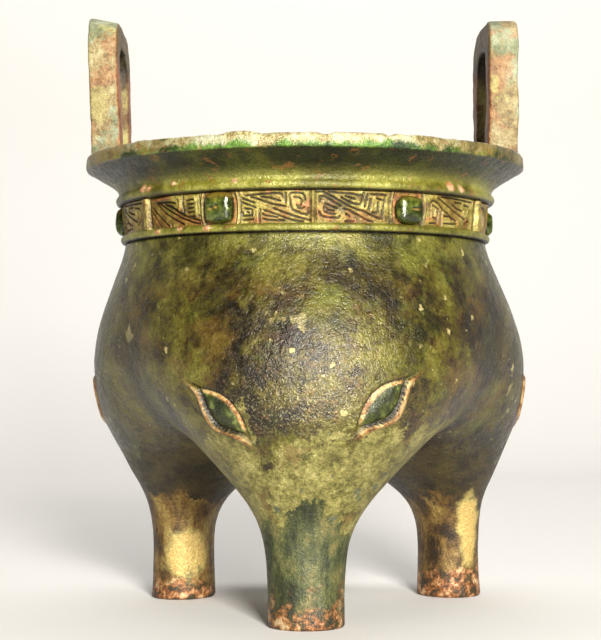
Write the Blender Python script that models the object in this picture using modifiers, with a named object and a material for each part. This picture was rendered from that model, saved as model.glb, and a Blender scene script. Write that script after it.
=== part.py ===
"""A cast bronze ding: a round collar on a body of three swelling lobes, each drawn
down into a solid leg, with two upright loop handles on the rim.

Metres, +Z up. The origin is on the ground, at the middle of the vessel's plan box.
The front lobe looks towards -Y and the handles stand at -X and +X.
"""

import math

import bmesh
import bpy
import numpy as np
from mathutils import Matrix, Vector

# Collar
RIM_RADIUS = 0.0821
RIM_TOP = 0.167
RIM_BAND = 0.0046
NECK_RADIUS = 0.0702
COLLAR_BOTTOM = 0.1352
COLLAR_INNER_RADIUS = 0.0634
BEAD_HEIGHT = 0.003
FIELD_TOP = 0.1494
FIELD_BOTTOM = 0.1376
FIELD_TOP_RADIUS = 0.0688
FIELD_BOTTOM_RADIUS = 0.0677
COLUMNS = 54
COLLAR_TURN = 2.4

# Frieze, as angles in degrees seen from above, counted from the front (-Y) towards +X
THIRD_START = -55.0
BOSS_ANGLES = (29.6, 85.8)
DIVIDE_ANGLE = 57.2
BOSS_SIZE = (0.0102, 0.0098)
BOSS_RISE = 0.0036
BOSS_SINK = 0.0012
BAR_WIDTH = 0.0026
BAR_RISE = 0.0016
STROKE_WIDTH = 0.0016
STROKE_RISE = 0.0009
STROKE_SINK = 0.0006

# Lobes: height, centre's distance from the axis, half width, radial share of the half width
LOBE_SECTIONS = (
    (0.150, 0.0000, 0.0675, 1.00),
    (0.134, 0.0000, 0.0675, 1.00),
    (0.126, 0.0050, 0.0663, 1.00),
    (0.118, 0.0105, 0.0653, 1.00),
    (0.110, 0.0160, 0.0641, 1.00),
    (0.100, 0.0220, 0.0624, 1.00),
    (0.090, 0.0275, 0.0597, 0.99),
    (0.080, 0.0325, 0.0555, 0.98),
    (0.070, 0.0380, 0.0482, 0.99),
    (0.062, 0.0430, 0.0400, 0.99),
    (0.055, 0.0480, 0.0328, 0.95),
    (0.048, 0.0525, 0.0262, 0.90),
    (0.042, 0.0550, 0.0208, 0.82),
    (0.036, 0.0565, 0.0170, 0.77),
    (0.028, 0.0570, 0.0144, 0.78),
    (0.018, 0.0570, 0.0134, 0.83),
    (0.008, 0.0570, 0.0131, 0.88),
    (0.000, 0.0573, 0.0133, 0.92),
)
HOLLOW_SECTIONS = (
    (0.150, 0.0000, 0.0639, 1.00),
    (0.134, 0.0000, 0.0639, 1.00),
    (0.126, 0.0050, 0.0627, 1.00),
    (0.118, 0.0105, 0.0616, 1.00),
    (0.110, 0.0160, 0.0603, 1.00),
    (0.100, 0.0220, 0.0585, 1.00),
    (0.090, 0.0278, 0.0554, 1.00),
    (0.080, 0.0332, 0.0504, 1.00),
    (0.070, 0.0393, 0.0424, 1.00),
    (0.062, 0.0448, 0.0330, 1.00),
    (0.056, 0.0485, 0.0230, 1.00),
    (0.051, 0.0505, 0.0130, 1.00),
    (0.047, 0.0515, 0.0030, 1.00),
    (0.040, 0.0520, -0.0160, 1.00),
)
SECTION_SMOOTHING = 0.003
# Each lobe: direction at the belly and at the foot (degrees), reach at the belly and at the foot
LOBES = (
    (-86.5, -90.0, 1.000, 1.000),
    (29.5, 25.5, 1.015, 1.080),
    (148.0, 154.0, 0.935, 0.930),
)
BELLY_HEIGHT = 0.090
ANKLE_HEIGHT = 0.020
CLEFT_BLEND = 0.008
CLEFT_BLEND_SHARE = 0.30

# Loft rows of the outer skin and of the hollow
BODY_HEIGHTS = (0.1368, 0.130, 0.123, 0.115, 0.106, 0.097, 0.088, 0.080, 0.073, 0.066)
CLEFT_POINTS = 3
CLEFT_FAN_HEIGHT = 0.075
SHOULDER_SHARES = (0.18, 0.38, 0.58, 0.80)
LEG_HEIGHTS = (0.035, 0.024, 0.0)
HOLLOW_HEIGHTS = (0.1368, 0.118, 0.098, 0.080)
HOLLOW_FLOOR_SHARES = (0.84, 0.66, 0.40)
HOLLOW_LOWEST = 0.042

# Eyes: lobe, side, angle from the lobe's middle and height of each centre, then the carving
EYES = (
    (0, -1, -38.9, 0.0745),
    (0, 1, 23.8, 0.0773),
    (1, -1, -32.0, 0.0765),
    (1, 1, 32.0, 0.0765),
    (2, -1, -32.0, 0.0765),
    (2, 1, 32.0, 0.0765),
)
EYE_SLANT = 44.0
EYE_LENGTH = 0.0205
EYE_WIDTH = 0.0094
EYE_TAIL = 0.0058
EYE_GROOVE = 0.0012
EYE_DEPTH = 0.0016
EYE_BULGE = 0.0012
LIP_WIDTH = 0.0019
LIP_RISE = 0.0010
LIP_SINK = 0.0010
LIP_END = 0.0003

# Handles
HANDLE_X = 0.0728
HANDLE_THICKNESS = 0.0110
HANDLE_WIDTH = 0.042
HANDLE_TOP = 0.2185
HANDLE_FOOT = 0.1601
HANDLE_FOOT_SLOPE = 0.78
HANDLE_TOP_SLOPES = {"handle_left": 0.20, "handle_right": 0.0}
HANDLE_POST = 0.0100
HANDLE_CORNER = 0.009
HANDLE_OPENING_TOP = 0.2085
HANDLE_LEAN = 1.8
HANDLE_EDGE = 0.0012


def clear_scene():
    for old in list(bpy.data.objects):
        bpy.data.objects.remove(old)


def new_collection(name):
    made = bpy.data.collections.new(name)
    bpy.context.scene.collection.children.link(made)
    return made


def bronze_material():
    made = bpy.data.materials.new("patinated_bronze")
    made.use_nodes = True
    shader = made.node_tree.nodes["Principled BSDF"]
    shader.inputs["Base Color"].default_value = (0.13, 0.125, 0.03, 1)
    shader.inputs["Metallic"].default_value = 0.35
    shader.inputs["Roughness"].default_value = 0.42
    return made


def mesh_object(name, points, faces, collection):
    """An object from points and faces, with its faces turned outwards."""
    mesh = bpy.data.meshes.new(name)
    mesh.from_pydata([tuple(p) for p in points], [], [tuple(f) for f in faces])
    work = bmesh.new()
    work.from_mesh(mesh)
    bmesh.ops.triangulate(work, faces=work.faces)
    bmesh.ops.recalc_face_normals(work, faces=work.faces)
    work.to_mesh(mesh)
    work.free()
    mesh.shade_smooth()
    made = bpy.data.objects.new(name, mesh)
    collection.objects.link(made)
    return made


def as_guide(made):
    made.hide_render = True
    made.display_type = "WIRE"
    return made


class Lobes:
    """Three round bodies about the axis, blended where they meet. Each section is an
    oval whose size and distance from the axis change smoothly with height."""

    def __init__(self, sections):
        rows = np.array(sections[::-1])
        step = 0.0005
        self.heights = np.arange(-0.02, 0.17, step)
        reach = np.arange(-4 * SECTION_SMOOTHING, 4 * SECTION_SMOOTHING + step / 2, step)
        bell = np.exp(-0.5 * (reach / SECTION_SMOOTHING) ** 2)
        bell /= bell.sum()
        self.columns = []
        for column in (1, 2, 3):
            raw = np.interp(self.heights, rows[:, 0], rows[:, column])
            padded = np.pad(raw, len(bell) // 2, mode="edge")
            self.columns.append(np.convolve(padded, bell, "valid"))

    def section(self, height):
        return [np.interp(height, self.heights, column) for column in self.columns]

    def place(self, lobe, height):
        """Direction (radians) and the centre's distance from the axis for one lobe."""
        belly_way, foot_way, belly_reach, foot_reach = LOBES[lobe]
        share = np.clip((height - ANKLE_HEIGHT) / (BELLY_HEIGHT - ANKLE_HEIGHT), 0, 1)
        share = share * share * (3 - 2 * share)
        offset = self.section(height)[0] * (foot_reach + (belly_reach - foot_reach) * share)
        return np.radians(foot_way + (belly_way - foot_way) * share), offset

    def field(self, points):
        """Below zero inside the body, zero on its skin, above zero outside."""
        x, y, z = points[:, 0], points[:, 1], points[:, 2]
        middle, half_width, radial = self.section(z)
        blend = np.maximum(np.minimum(CLEFT_BLEND, CLEFT_BLEND_SHARE * middle), 1e-5)
        distances = []
        for lobe in range(3):
            way, offset = self.place(lobe, z)
            along = x * np.cos(way) + y * np.sin(way) - offset
            across = -x * np.sin(way) + y * np.cos(way)
            distances.append(np.hypot(along / radial, across) - half_width)
        distances = np.array(distances)
        nearest = distances.min(axis=0)
        spread = np.exp(-np.minimum((distances - nearest) / blend, 60)).sum(axis=0)
        return nearest - blend * np.log(spread)

    def gradient(self, points):
        step = 0.00005
        parts = []
        for axis in np.eye(3) * step:
            parts.append((self.field(points + axis) - self.field(points - axis)) / (2 * step))
        return np.array(parts).T

    def cast(self, starts, directions, farthest):
        """Where rays that start inside the body leave it."""
        near = np.zeros(len(starts))
        far = np.full(len(starts), farthest)
        for _ in range(40):
            middle = (near + far) / 2
            inside = self.field(starts + directions * middle[:, None]) < 0
            near = np.where(inside, middle, near)
            far = np.where(inside, far, middle)
        return starts + directions * near[:, None]

    def settle(self, points):
        """Moves points that are near the skin onto it."""
        points = points.copy()
        for _ in range(16):
            slope = self.gradient(points)
            steepness = np.maximum((slope**2).sum(axis=1), 0.2)
            move = slope * (self.field(points) / steepness)[:, None]
            points -= np.clip(move, -0.004, 0.004)
        return points

    def ring(self, angles, height):
        starts = np.column_stack([0 * angles, 0 * angles, 0 * angles + height])
        directions = np.column_stack([np.cos(angles), np.sin(angles), 0 * angles])
        return self.cast(starts, directions, 0.12)

    def leg_loop(self, lobe, turns, height):
        """The oval of one leg; turns are angles from the lobe's direction."""
        way, offset = self.place(lobe, height)
        _, half_width, radial = self.section(height)
        along = offset + half_width * radial * np.cos(turns)
        across = half_width * np.sin(turns)
        x = along * np.cos(way) - across * np.sin(way)
        y = along * np.sin(way) + across * np.cos(way)
        return np.column_stack([x, y, 0 * x + height])


OUTER = Lobes(LOBE_SECTIONS)
HOLLOW = Lobes(HOLLOW_SECTIONS)


class Loft:
    """Points and faces gathered row by row."""

    def __init__(self):
        self.points = []
        self.faces = []

    def add(self, points):
        first = len(self.points)
        self.points.extend(points)
        return list(range(first, len(self.points)))

    def band(self, upper, lower, closed=True):
        count = len(upper)
        for i in range(count if closed else count - 1):
            j = (i + 1) % count
            self.faces.append((upper[i], lower[i], lower[j], upper[j]))

    def fan(self, row, tip):
        for i in range(len(row)):
            self.faces.append((row[i], tip, row[(i + 1) % len(row)]))


def cleft_ways():
    """Directions of the three clefts, midway between neighbouring lobes."""
    ways = [math.degrees(float(OUTER.place(lobe, CLEFT_FAN_HEIGHT)[0])) for lobe in range(3)]
    return [(ways[i] + ways[(i + 1) % 3] + (360 if i == 2 else 0)) / 2 for i in range(3)]


def column_angles():
    """Column directions with one column on every cleft, in radians. Lobe 0 comes first."""
    clefts = cleft_ways()
    starts = [clefts[2] - 360, clefts[0], clefts[1]]
    ends = [clefts[0], clefts[1], clefts[2]]
    per_lobe = COLUMNS // 3
    parts = [np.linspace(a, b, per_lobe, endpoint=False) for a, b in zip(starts, ends)]
    return np.radians(np.concatenate(parts))


def add_legs(loft, last_row, angles):
    """Closes the body underneath and draws each lobe down into its leg."""
    per_lobe = COLUMNS // 3
    hub = np.array([[0, 0, CLEFT_FAN_HEIGHT]])
    crotch = loft.add(OUTER.cast(hub, np.array([[0.0, 0.0, -1.0]]), 0.05))[0]
    lines = []
    for lobe in range(3):
        way = angles[lobe * per_lobe]
        edge = loft.points[last_row[lobe * per_lobe]]
        widest = math.atan2(math.hypot(edge[0], edge[1]), CLEFT_FAN_HEIGHT - edge[2])
        swings = widest * np.arange(1, CLEFT_POINTS + 1) / (CLEFT_POINTS + 1)
        level = np.sin(swings)
        directions = np.column_stack([level * math.cos(way), level * math.sin(way), -np.cos(swings)])
        starts = np.repeat(hub, CLEFT_POINTS, axis=0)
        lines.append(loft.add(OUTER.cast(starts, directions, 0.12)))
    for lobe in range(3):
        arc = [last_row[(lobe * per_lobe + i) % COLUMNS] for i in range(per_lobe + 1)]
        petal = [crotch] + lines[lobe] + arc + lines[(lobe + 1) % 3][::-1]
        petal_points = np.array([loft.points[i] for i in petal])
        turns = -np.pi + 2 * np.pi * np.arange(len(petal)) / len(petal)
        top_loop = OUTER.leg_loop(lobe, turns, LEG_HEIGHTS[0])
        row = petal
        for share in SHOULDER_SHARES:
            guess = petal_points * (1 - share) + top_loop * share
            below = loft.add(OUTER.settle(guess))
            loft.band(row, below)
            row = below
        for height in LEG_HEIGHTS:
            below = loft.add(OUTER.leg_loop(lobe, turns, height))
            loft.band(row, below)
            row = below
        loft.faces.append(tuple(row))


def add_hollow(loft, top_row, angles):
    """The inside: walls down to the belly, then a floor that dips above each leg."""
    row = top_row
    for height in HOLLOW_HEIGHTS:
        below = loft.add(HOLLOW.ring(angles, height))
        loft.band(row, below)
        row = below
    rim = np.array([loft.points[i] for i in row])
    down = np.array([[0.0, 0.0, -1.0]])
    drop = HOLLOW_HEIGHTS[-1] - HOLLOW_LOWEST
    for share in HOLLOW_FLOOR_SHARES:
        starts = rim * [share, share, 1]
        below = loft.add(HOLLOW.cast(starts, np.repeat(down, COLUMNS, axis=0), drop))
        loft.band(row, below)
        row = below
    hub = np.array([[0, 0, HOLLOW_HEIGHTS[-1]]])
    tip = loft.add(HOLLOW.cast(hub, down, drop))[0]
    loft.fan(row, tip)


def make_body(collection):
    """The lobed body with its legs, a loft from a round mouth to three ovals."""
    loft = Loft()
    angles = column_angles()
    top_row = loft.add(OUTER.ring(angles, BODY_HEIGHTS[0]))
    row = top_row
    for height in BODY_HEIGHTS[1:]:
        below = loft.add(OUTER.ring(angles, height))
        loft.band(row, below)
        row = below
    add_legs(loft, row, angles)
    add_hollow(loft, top_row, angles)
    return mesh_object("ding_vessel", loft.points, loft.faces, collection)


def collar_profile():
    """Half section of the collar at +X, down its outer side and up its inner side."""
    band_bottom = RIM_TOP - RIM_BAND
    bead = FIELD_TOP + BEAD_HEIGHT
    return (
        (RIM_RADIUS, RIM_TOP),
        (RIM_RADIUS, band_bottom + 0.0004),
        (RIM_RADIUS - 0.0012, band_bottom - 0.0004),
        (0.0755, 0.1582),
        (NECK_RADIUS + 0.0006, 0.1546),
        (NECK_RADIUS, bead + 0.0004),
        (NECK_RADIUS + 0.0010, bead - 0.0009),
        (NECK_RADIUS + 0.0006, FIELD_TOP + 0.0002),
        (FIELD_TOP_RADIUS, FIELD_TOP - 0.0003),
        (FIELD_BOTTOM_RADIUS, FIELD_BOTTOM),
        (0.0690, FIELD_BOTTOM - 0.0006),
        (0.0689, COLLAR_BOTTOM),
        (COLLAR_INNER_RADIUS, COLLAR_BOTTOM),
        (COLLAR_INNER_RADIUS + 0.0006, 0.1515),
        (0.0700, 0.1590),
        (RIM_RADIUS - 0.0028, RIM_TOP),
    )


def make_collar(collection):
    """The turned neck with its rim band and the frieze's beads and field."""
    profile = [(x, 0.0, z) for x, z in collar_profile()]
    count = len(profile)
    mesh = bpy.data.meshes.new("collar")
    mesh.from_pydata(profile, [(i, (i + 1) % count) for i in range(count)], [])
    made = bpy.data.objects.new("collar", mesh)
    collection.objects.link(made)
    turn = made.modifiers.new("turn", "SCREW")
    turn.axis = "Z"
    turn.angle = 2 * math.pi
    turn.steps = COLUMNS
    turn.render_steps = COLUMNS
    turn.use_merge_vertices = True
    turn.merge_threshold = 0.00001
    made.rotation_euler.z = math.radians(COLLAR_TURN)
    return as_guide(made)


def collar_point(angle, height, lift):
    """A point on the frieze field; angle in degrees from the front towards +X."""
    share = (height - FIELD_BOTTOM) / (FIELD_TOP - FIELD_BOTTOM)
    radius = FIELD_BOTTOM_RADIUS + (FIELD_TOP_RADIUS - FIELD_BOTTOM_RADIUS) * share + lift
    return (radius * math.sin(math.radians(angle)), -radius * math.cos(math.radians(angle)), height)


def panel_strokes():
    """The slanted fret of one panel, as lines in panel shares (across, up)."""
    return (
        ((0.07, 0.72), (0.88, 0.07)),
        ((0.16, 0.93), (0.97, 0.22)),
        ((0.06, 0.50), (0.06, 0.10), (0.32, 0.10), (0.32, 0.36)),
        ((0.68, 0.90), (0.95, 0.90), (0.95, 0.48), (0.78, 0.66)),
    )


def stroke_solid(loft, path, width, rise, ends_taper=True):
    """A low ridge along a path of (angle, height) on the frieze field."""
    scale = math.degrees(1 / FIELD_TOP_RADIUS)
    flat = [Vector((a / scale, h)) for a, h in path]
    rows = []
    for i, here in enumerate(flat):
        before = (here - flat[i - 1]).normalized() if i else None
        after = (flat[i + 1] - here).normalized() if i < len(flat) - 1 else None
        way = ((before or after) + (after or before)).normalized()
        side = Vector((-way.y, way.x))
        lean = side.dot(Vector((-(after or before).y, (after or before).x)))
        side *= width / 2 / max(lean, 0.5)
        left, right = here + side, here - side
        crown = rise if 0 < i < len(flat) - 1 or not ends_taper else rise * 0.6
        row = []
        for spot, lift in ((left, -STROKE_SINK), (here, crown), (right, -STROKE_SINK)):
            row.append(collar_point(spot.x * scale, spot.y, lift))
        rows.append(loft.add(row))
    for upper, lower in zip(rows, rows[1:]):
        loft.band(upper, lower)
    loft.faces.append(tuple(rows[0]))
    loft.faces.append(tuple(rows[-1][::-1]))


def make_frieze(collection):
    """Ridges of the fret, the dividing bars and lines, all round the collar."""
    loft = Loft()
    tall = FIELD_TOP - FIELD_BOTTOM
    half_boss = math.degrees(BOSS_SIZE[0] / 2 / FIELD_TOP_RADIUS)
    stops = (0.0, BOSS_ANGLES[0], DIVIDE_ANGLE, BOSS_ANGLES[1], 120.0)
    margins = (2.2, half_boss + 1.4, 1.8, half_boss + 1.4, 2.2)
    for third in range(3):
        start = THIRD_START + 120 * third
        for width, at in ((BAR_WIDTH, 0.0), (STROKE_WIDTH, DIVIDE_ANGLE)):
            rise = BAR_RISE if width == BAR_WIDTH else STROKE_RISE
            upright = [(start + at, FIELD_BOTTOM + tall * s) for s in (0.97, 0.03)]
            stroke_solid(loft, upright, width, rise, ends_taper=False)
        for panel in range(4):
            left = start + stops[panel] + margins[panel]
            right = start + stops[panel + 1] - margins[panel + 1]
            for line in panel_strokes():
                path = [(left + (right - left) * u, FIELD_BOTTOM + tall * v) for u, v in line]
                stroke_solid(loft, path, STROKE_WIDTH, STROKE_RISE)
    return as_guide(mesh_object("frieze_ridges", loft.points, loft.faces, collection))


def make_boss(name, angle, collection):
    """A rounded square pillow on the frieze field."""
    bpy.ops.mesh.primitive_cube_add(size=1)
    made = bpy.context.object
    made.name = name
    depth = BOSS_RISE + BOSS_SINK
    made.data.transform(Matrix.Diagonal((BOSS_SIZE[0], depth, BOSS_SIZE[1], 1)))
    work = bmesh.new()
    work.from_mesh(made.data)
    outer_edges = [e for e in work.edges if all(v.co.y < 0 for v in e.verts)]
    side_edges = [e for e in work.edges if e.verts[0].co.y * e.verts[1].co.y < 0]
    rounded = outer_edges + side_edges
    bmesh.ops.bevel(work, geom=rounded, offset=0.0028, segments=2, profile=0.6, affect="EDGES")
    work.to_mesh(made.data)
    work.free()
    spot = collar_point(angle, (FIELD_TOP + FIELD_BOTTOM) / 2, (BOSS_RISE - BOSS_SINK) / 2)
    made.location = spot
    made.rotation_euler.z = math.radians(angle)
    for owner in list(made.users_collection):
        owner.objects.unlink(made)
    collection.objects.link(made)
    return as_guide(made)


class EyePatch:
    """A flat chart laid on a lobe at one eye; p runs from the inner to the outer corner."""

    def __init__(self, lobe, side, angle, height):
        turn = math.radians(angle)
        way, offset = OUTER.place(lobe, height)
        _, half_width, radial = OUTER.section(height)
        along = offset + half_width * radial * math.cos(turn)
        across = half_width * math.sin(turn)
        x = along * math.cos(way) - across * math.sin(way)
        y = along * math.sin(way) + across * math.cos(way)
        self.origin = OUTER.settle(np.array([[x, y, height]]))[0]
        slope = OUTER.gradient(self.origin[None])[0]
        self.normal = slope / np.linalg.norm(slope)
        level = np.cross([0, 0, 1], self.normal)
        level *= side / np.linalg.norm(level)
        rise = np.cross(self.normal, level) * side
        slant = math.radians(EYE_SLANT)
        self.long = level * math.cos(slant) + rise * math.sin(slant)
        self.short = rise * math.cos(slant) - level * math.sin(slant)

    def skin(self, p, q, lift=0.0):
        """Points at chart places p, q, raised from the lobe's skin by lift."""
        p, q = np.atleast_1d(p), np.atleast_1d(q)
        flat = self.origin + np.outer(p, self.long) + np.outer(q, self.short)
        starts = flat - self.normal * 0.012
        found = OUTER.cast(starts, np.repeat(self.normal[None], len(starts), axis=0), 0.03)
        return found + self.normal * np.atleast_1d(lift)[:, None]


def almond(length, width, count):
    """Outline of a lens with pointed ends: upper edge, then lower edge."""
    share = np.linspace(-1, 1, count)
    bow = width / 2 * (1 - np.abs(share) ** 2.2)
    p = np.concatenate([share * length / 2, share[-2:0:-1] * length / 2])
    q = np.concatenate([bow, -bow[-2:0:-1]])
    return p, q


def make_eye(lobe, side, angle, height, lips, recesses, balls):
    """One carved eye: a raised lower lip, an almond sunk beside it and a ball in that."""
    patch = EyePatch(lobe, side, angle, height)
    name = "eye_{}_{}".format(lobe, "right" if side > 0 else "left")

    share = np.linspace(-1, 1, 10)
    p = share * (EYE_LENGTH / 2 + EYE_TAIL)
    bow = np.clip(1 - np.abs(share * 1.22) ** 2.4, -0.04, 1)
    outer = -(EYE_WIDTH / 2 + EYE_GROOVE + LIP_WIDTH) * bow - LIP_END
    inner = -EYE_WIDTH * 0.25 * bow + LIP_END
    lip = Loft()
    rows = []
    for i in range(len(share)):
        rise = LIP_RISE * (0.35 + 0.65 * math.sqrt(1 - share[i] ** 2))
        slope = 0.3 * min(LIP_WIDTH, inner[i] - outer[i])
        spots = (inner[i], outer[i] + slope, outer[i] - slope, inner[i])
        lifts = (rise, rise, -LIP_SINK, -LIP_SINK)
        rows.append(lip.add([patch.skin(p[i], q, lift)[0] for q, lift in zip(spots, lifts)]))
    for upper, lower in zip(rows, rows[1:]):
        lip.band(upper, lower)
    lip.faces.append(tuple(rows[0]))
    lip.faces.append(tuple(rows[-1][::-1]))
    as_guide(mesh_object(name + "_lip", lip.points, lip.faces, lips))

    p, q = almond(EYE_LENGTH + 2 * EYE_GROOVE, EYE_WIDTH + 2 * EYE_GROOVE, 8)
    sunk = Loft()
    over = sunk.add(patch.skin(p, q, 2 * LIP_RISE))
    under = sunk.add(patch.skin(p, q, -EYE_DEPTH))
    sunk.band(over, under)
    sunk.fan(over, sunk.add(patch.skin(0, 0, 2 * LIP_RISE))[0])
    sunk.fan(under, sunk.add(patch.skin(0.0016, 0.0011, -EYE_DEPTH))[0])
    as_guide(mesh_object(name + "_recess", sunk.points, sunk.faces, recesses))

    p, q = almond(EYE_LENGTH - EYE_GROOVE, EYE_WIDTH, 7)
    ball = Loft()
    low = ball.add(patch.skin(p, q, -1.6 * EYE_DEPTH))
    edge = ball.add(patch.skin(p, q, -0.5 * EYE_DEPTH))
    crown = ball.add(patch.skin(p * 0.55, q * 0.55, 0.8 * EYE_BULGE))
    ball.band(low, edge)
    ball.band(edge, crown)
    ball.fan(low, ball.add(patch.skin(0, 0, -1.6 * EYE_DEPTH))[0])
    ball.fan(crown, ball.add(patch.skin(0, 0, EYE_BULGE))[0])
    as_guide(mesh_object(name + "_ball", ball.points, ball.faces, balls))


def arc(centre, radius, start, end, count):
    angles = np.radians(np.linspace(start, end, count))
    return [(centre[0] + radius * math.cos(a), centre[1] + radius * math.sin(a)) for a in angles]


def handle_outline():
    """Arched outline in its own plane: up the outside, down round the opening."""
    half = HANDLE_WIDTH / 2
    inner = half - HANDLE_POST
    corner = HANDLE_CORNER
    soft = inner * 0.75
    outline = [(-half, HANDLE_FOOT)]
    outline += arc((-half + corner, HANDLE_TOP - corner), corner, 180, 90, 5)
    outline += arc((half - corner, HANDLE_TOP - corner), corner, 90, 0, 5)
    outline += [(half, HANDLE_FOOT), (inner, HANDLE_FOOT)]
    outline += arc((inner - soft, HANDLE_OPENING_TOP - soft), soft, 0, 90, 5)
    outline += arc((soft - inner, HANDLE_OPENING_TOP - soft), soft, 90, 180, 5)
    outline.append((-inner, HANDLE_FOOT))
    return outline


def make_handle(name, side, collection):
    """One upright loop handle, cut from a thick slab and standing on the rim."""
    curve = bpy.data.curves.new(name, "CURVE")
    curve.dimensions = "2D"
    curve.fill_mode = "BOTH"
    curve.extrude = HANDLE_THICKNESS / 2
    line = curve.splines.new("POLY")
    outline = handle_outline()
    line.points.add(len(outline) - 1)
    for point, (across, up) in zip(line.points, outline):
        point.co = (across, up - HANDLE_FOOT, 0, 1)
    line.use_cyclic_u = True
    drawn = bpy.data.objects.new(name + "_curve", curve)
    collection.objects.link(drawn)
    lean = math.radians(HANDLE_LEAN * side)
    stand = Matrix.Rotation(math.pi / 2, 4, "Z") @ Matrix.Rotation(math.pi / 2, 4, "X")
    place = Matrix.Translation((HANDLE_X * side, 0, HANDLE_FOOT)) @ Matrix.Rotation(lean, 4, "Y")
    drawn.matrix_world = place @ stand
    bpy.context.view_layer.update()
    evaluated = drawn.evaluated_get(bpy.context.evaluated_depsgraph_get())
    mesh = bpy.data.meshes.new_from_object(evaluated)
    work = bmesh.new()
    work.from_mesh(mesh)
    bmesh.ops.remove_doubles(work, verts=work.verts, dist=0.00001)
    bmesh.ops.dissolve_limit(work, verts=work.verts, edges=work.edges, angle_limit=math.radians(2))
    for vert in work.verts:
        outwards = vert.co.z * side
        if vert.co.y < 0.001:
            vert.co.y += HANDLE_FOOT_SLOPE * outwards
        elif vert.co.y > HANDLE_TOP - HANDLE_FOOT - HANDLE_CORNER:
            vert.co.y += HANDLE_TOP_SLOPES[name] * (outwards - HANDLE_THICKNESS / 2)
    bmesh.ops.recalc_face_normals(work, faces=work.faces)
    above_foot = [e for e in work.edges if max(v.co.y for v in e.verts) > HANDLE_EDGE + 0.006]
    sharp = [e for e in above_foot if e.calc_face_angle() > math.radians(50)]
    bmesh.ops.bevel(work, geom=sharp, offset=HANDLE_EDGE, segments=1, affect="EDGES")
    work.to_mesh(mesh)
    work.free()
    made = bpy.data.objects.new(name, mesh)
    collection.objects.link(made)
    made.matrix_world = drawn.matrix_world
    bpy.data.objects.remove(drawn)
    return as_guide(made)


def combine(solid, name, operation, operands):
    step = solid.modifiers.new(name, "BOOLEAN")
    step.operation = operation
    step.operand_type = "COLLECTION"
    step.collection = operands
    step.solver = "EXACT"


def centre_on_origin(body):
    """Moves every piece so that the plan box of the finished vessel is centred."""
    bpy.context.view_layer.update()
    finished = body.evaluated_get(bpy.context.evaluated_depsgraph_get())
    corners = [finished.matrix_world @ Vector(corner) for corner in finished.bound_box]
    middle = (corners[0] + corners[6]) / 2
    for piece in bpy.data.objects:
        piece.location -= Vector((middle.x, middle.y, 0))


def main():
    clear_scene()
    vessel = new_collection("ding")
    collar_and_handles = new_collection("ding_collar_and_handles")
    frieze = new_collection("ding_frieze")
    eye_lips = new_collection("ding_eye_lips")
    eye_recesses = new_collection("ding_eye_recesses")
    eye_balls = new_collection("ding_eye_balls")

    body = make_body(vessel)
    body.data.materials.append(bronze_material())
    collar = make_collar(collar_and_handles)
    make_handle("handle_left", -1, collar_and_handles)
    make_handle("handle_right", 1, collar_and_handles)
    make_frieze(frieze)
    for third in range(3):
        for spot, from_start in enumerate(BOSS_ANGLES):
            angle = THIRD_START + 120 * third + from_start
            make_boss("boss_{}_{}".format(third, spot), angle, frieze)
    for lobe, side, angle, height in EYES:
        make_eye(lobe, side, angle, height, eye_lips, eye_recesses, eye_balls)

    combine(collar, "fret and bosses", "UNION", frieze)
    combine(body, "eye lips", "UNION", eye_lips)
    combine(body, "eye recesses", "DIFFERENCE", eye_recesses)
    combine(body, "eyeballs", "UNION", eye_balls)
    combine(body, "collar and handles", "UNION", collar_and_handles)
    centre_on_origin(body)


main()
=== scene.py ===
import math

import bpy
import numpy as np
from mathutils import Matrix, Vector, noise


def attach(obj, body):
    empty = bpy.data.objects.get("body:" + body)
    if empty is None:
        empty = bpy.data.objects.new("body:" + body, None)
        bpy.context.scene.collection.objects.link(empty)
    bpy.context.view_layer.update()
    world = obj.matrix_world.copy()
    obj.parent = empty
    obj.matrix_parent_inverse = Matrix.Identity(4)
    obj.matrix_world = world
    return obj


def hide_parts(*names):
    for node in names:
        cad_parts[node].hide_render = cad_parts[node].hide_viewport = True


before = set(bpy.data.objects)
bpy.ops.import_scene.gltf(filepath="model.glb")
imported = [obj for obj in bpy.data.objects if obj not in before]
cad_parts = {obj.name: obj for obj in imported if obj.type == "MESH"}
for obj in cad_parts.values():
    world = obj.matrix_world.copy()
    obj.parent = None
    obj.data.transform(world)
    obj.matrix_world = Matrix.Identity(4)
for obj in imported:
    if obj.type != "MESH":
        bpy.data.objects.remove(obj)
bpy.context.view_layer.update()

mm = 0.001
vesselAxis = Vector((-0.001126, 0.0023, 0))  # the rim's centre, seen from above

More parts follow.
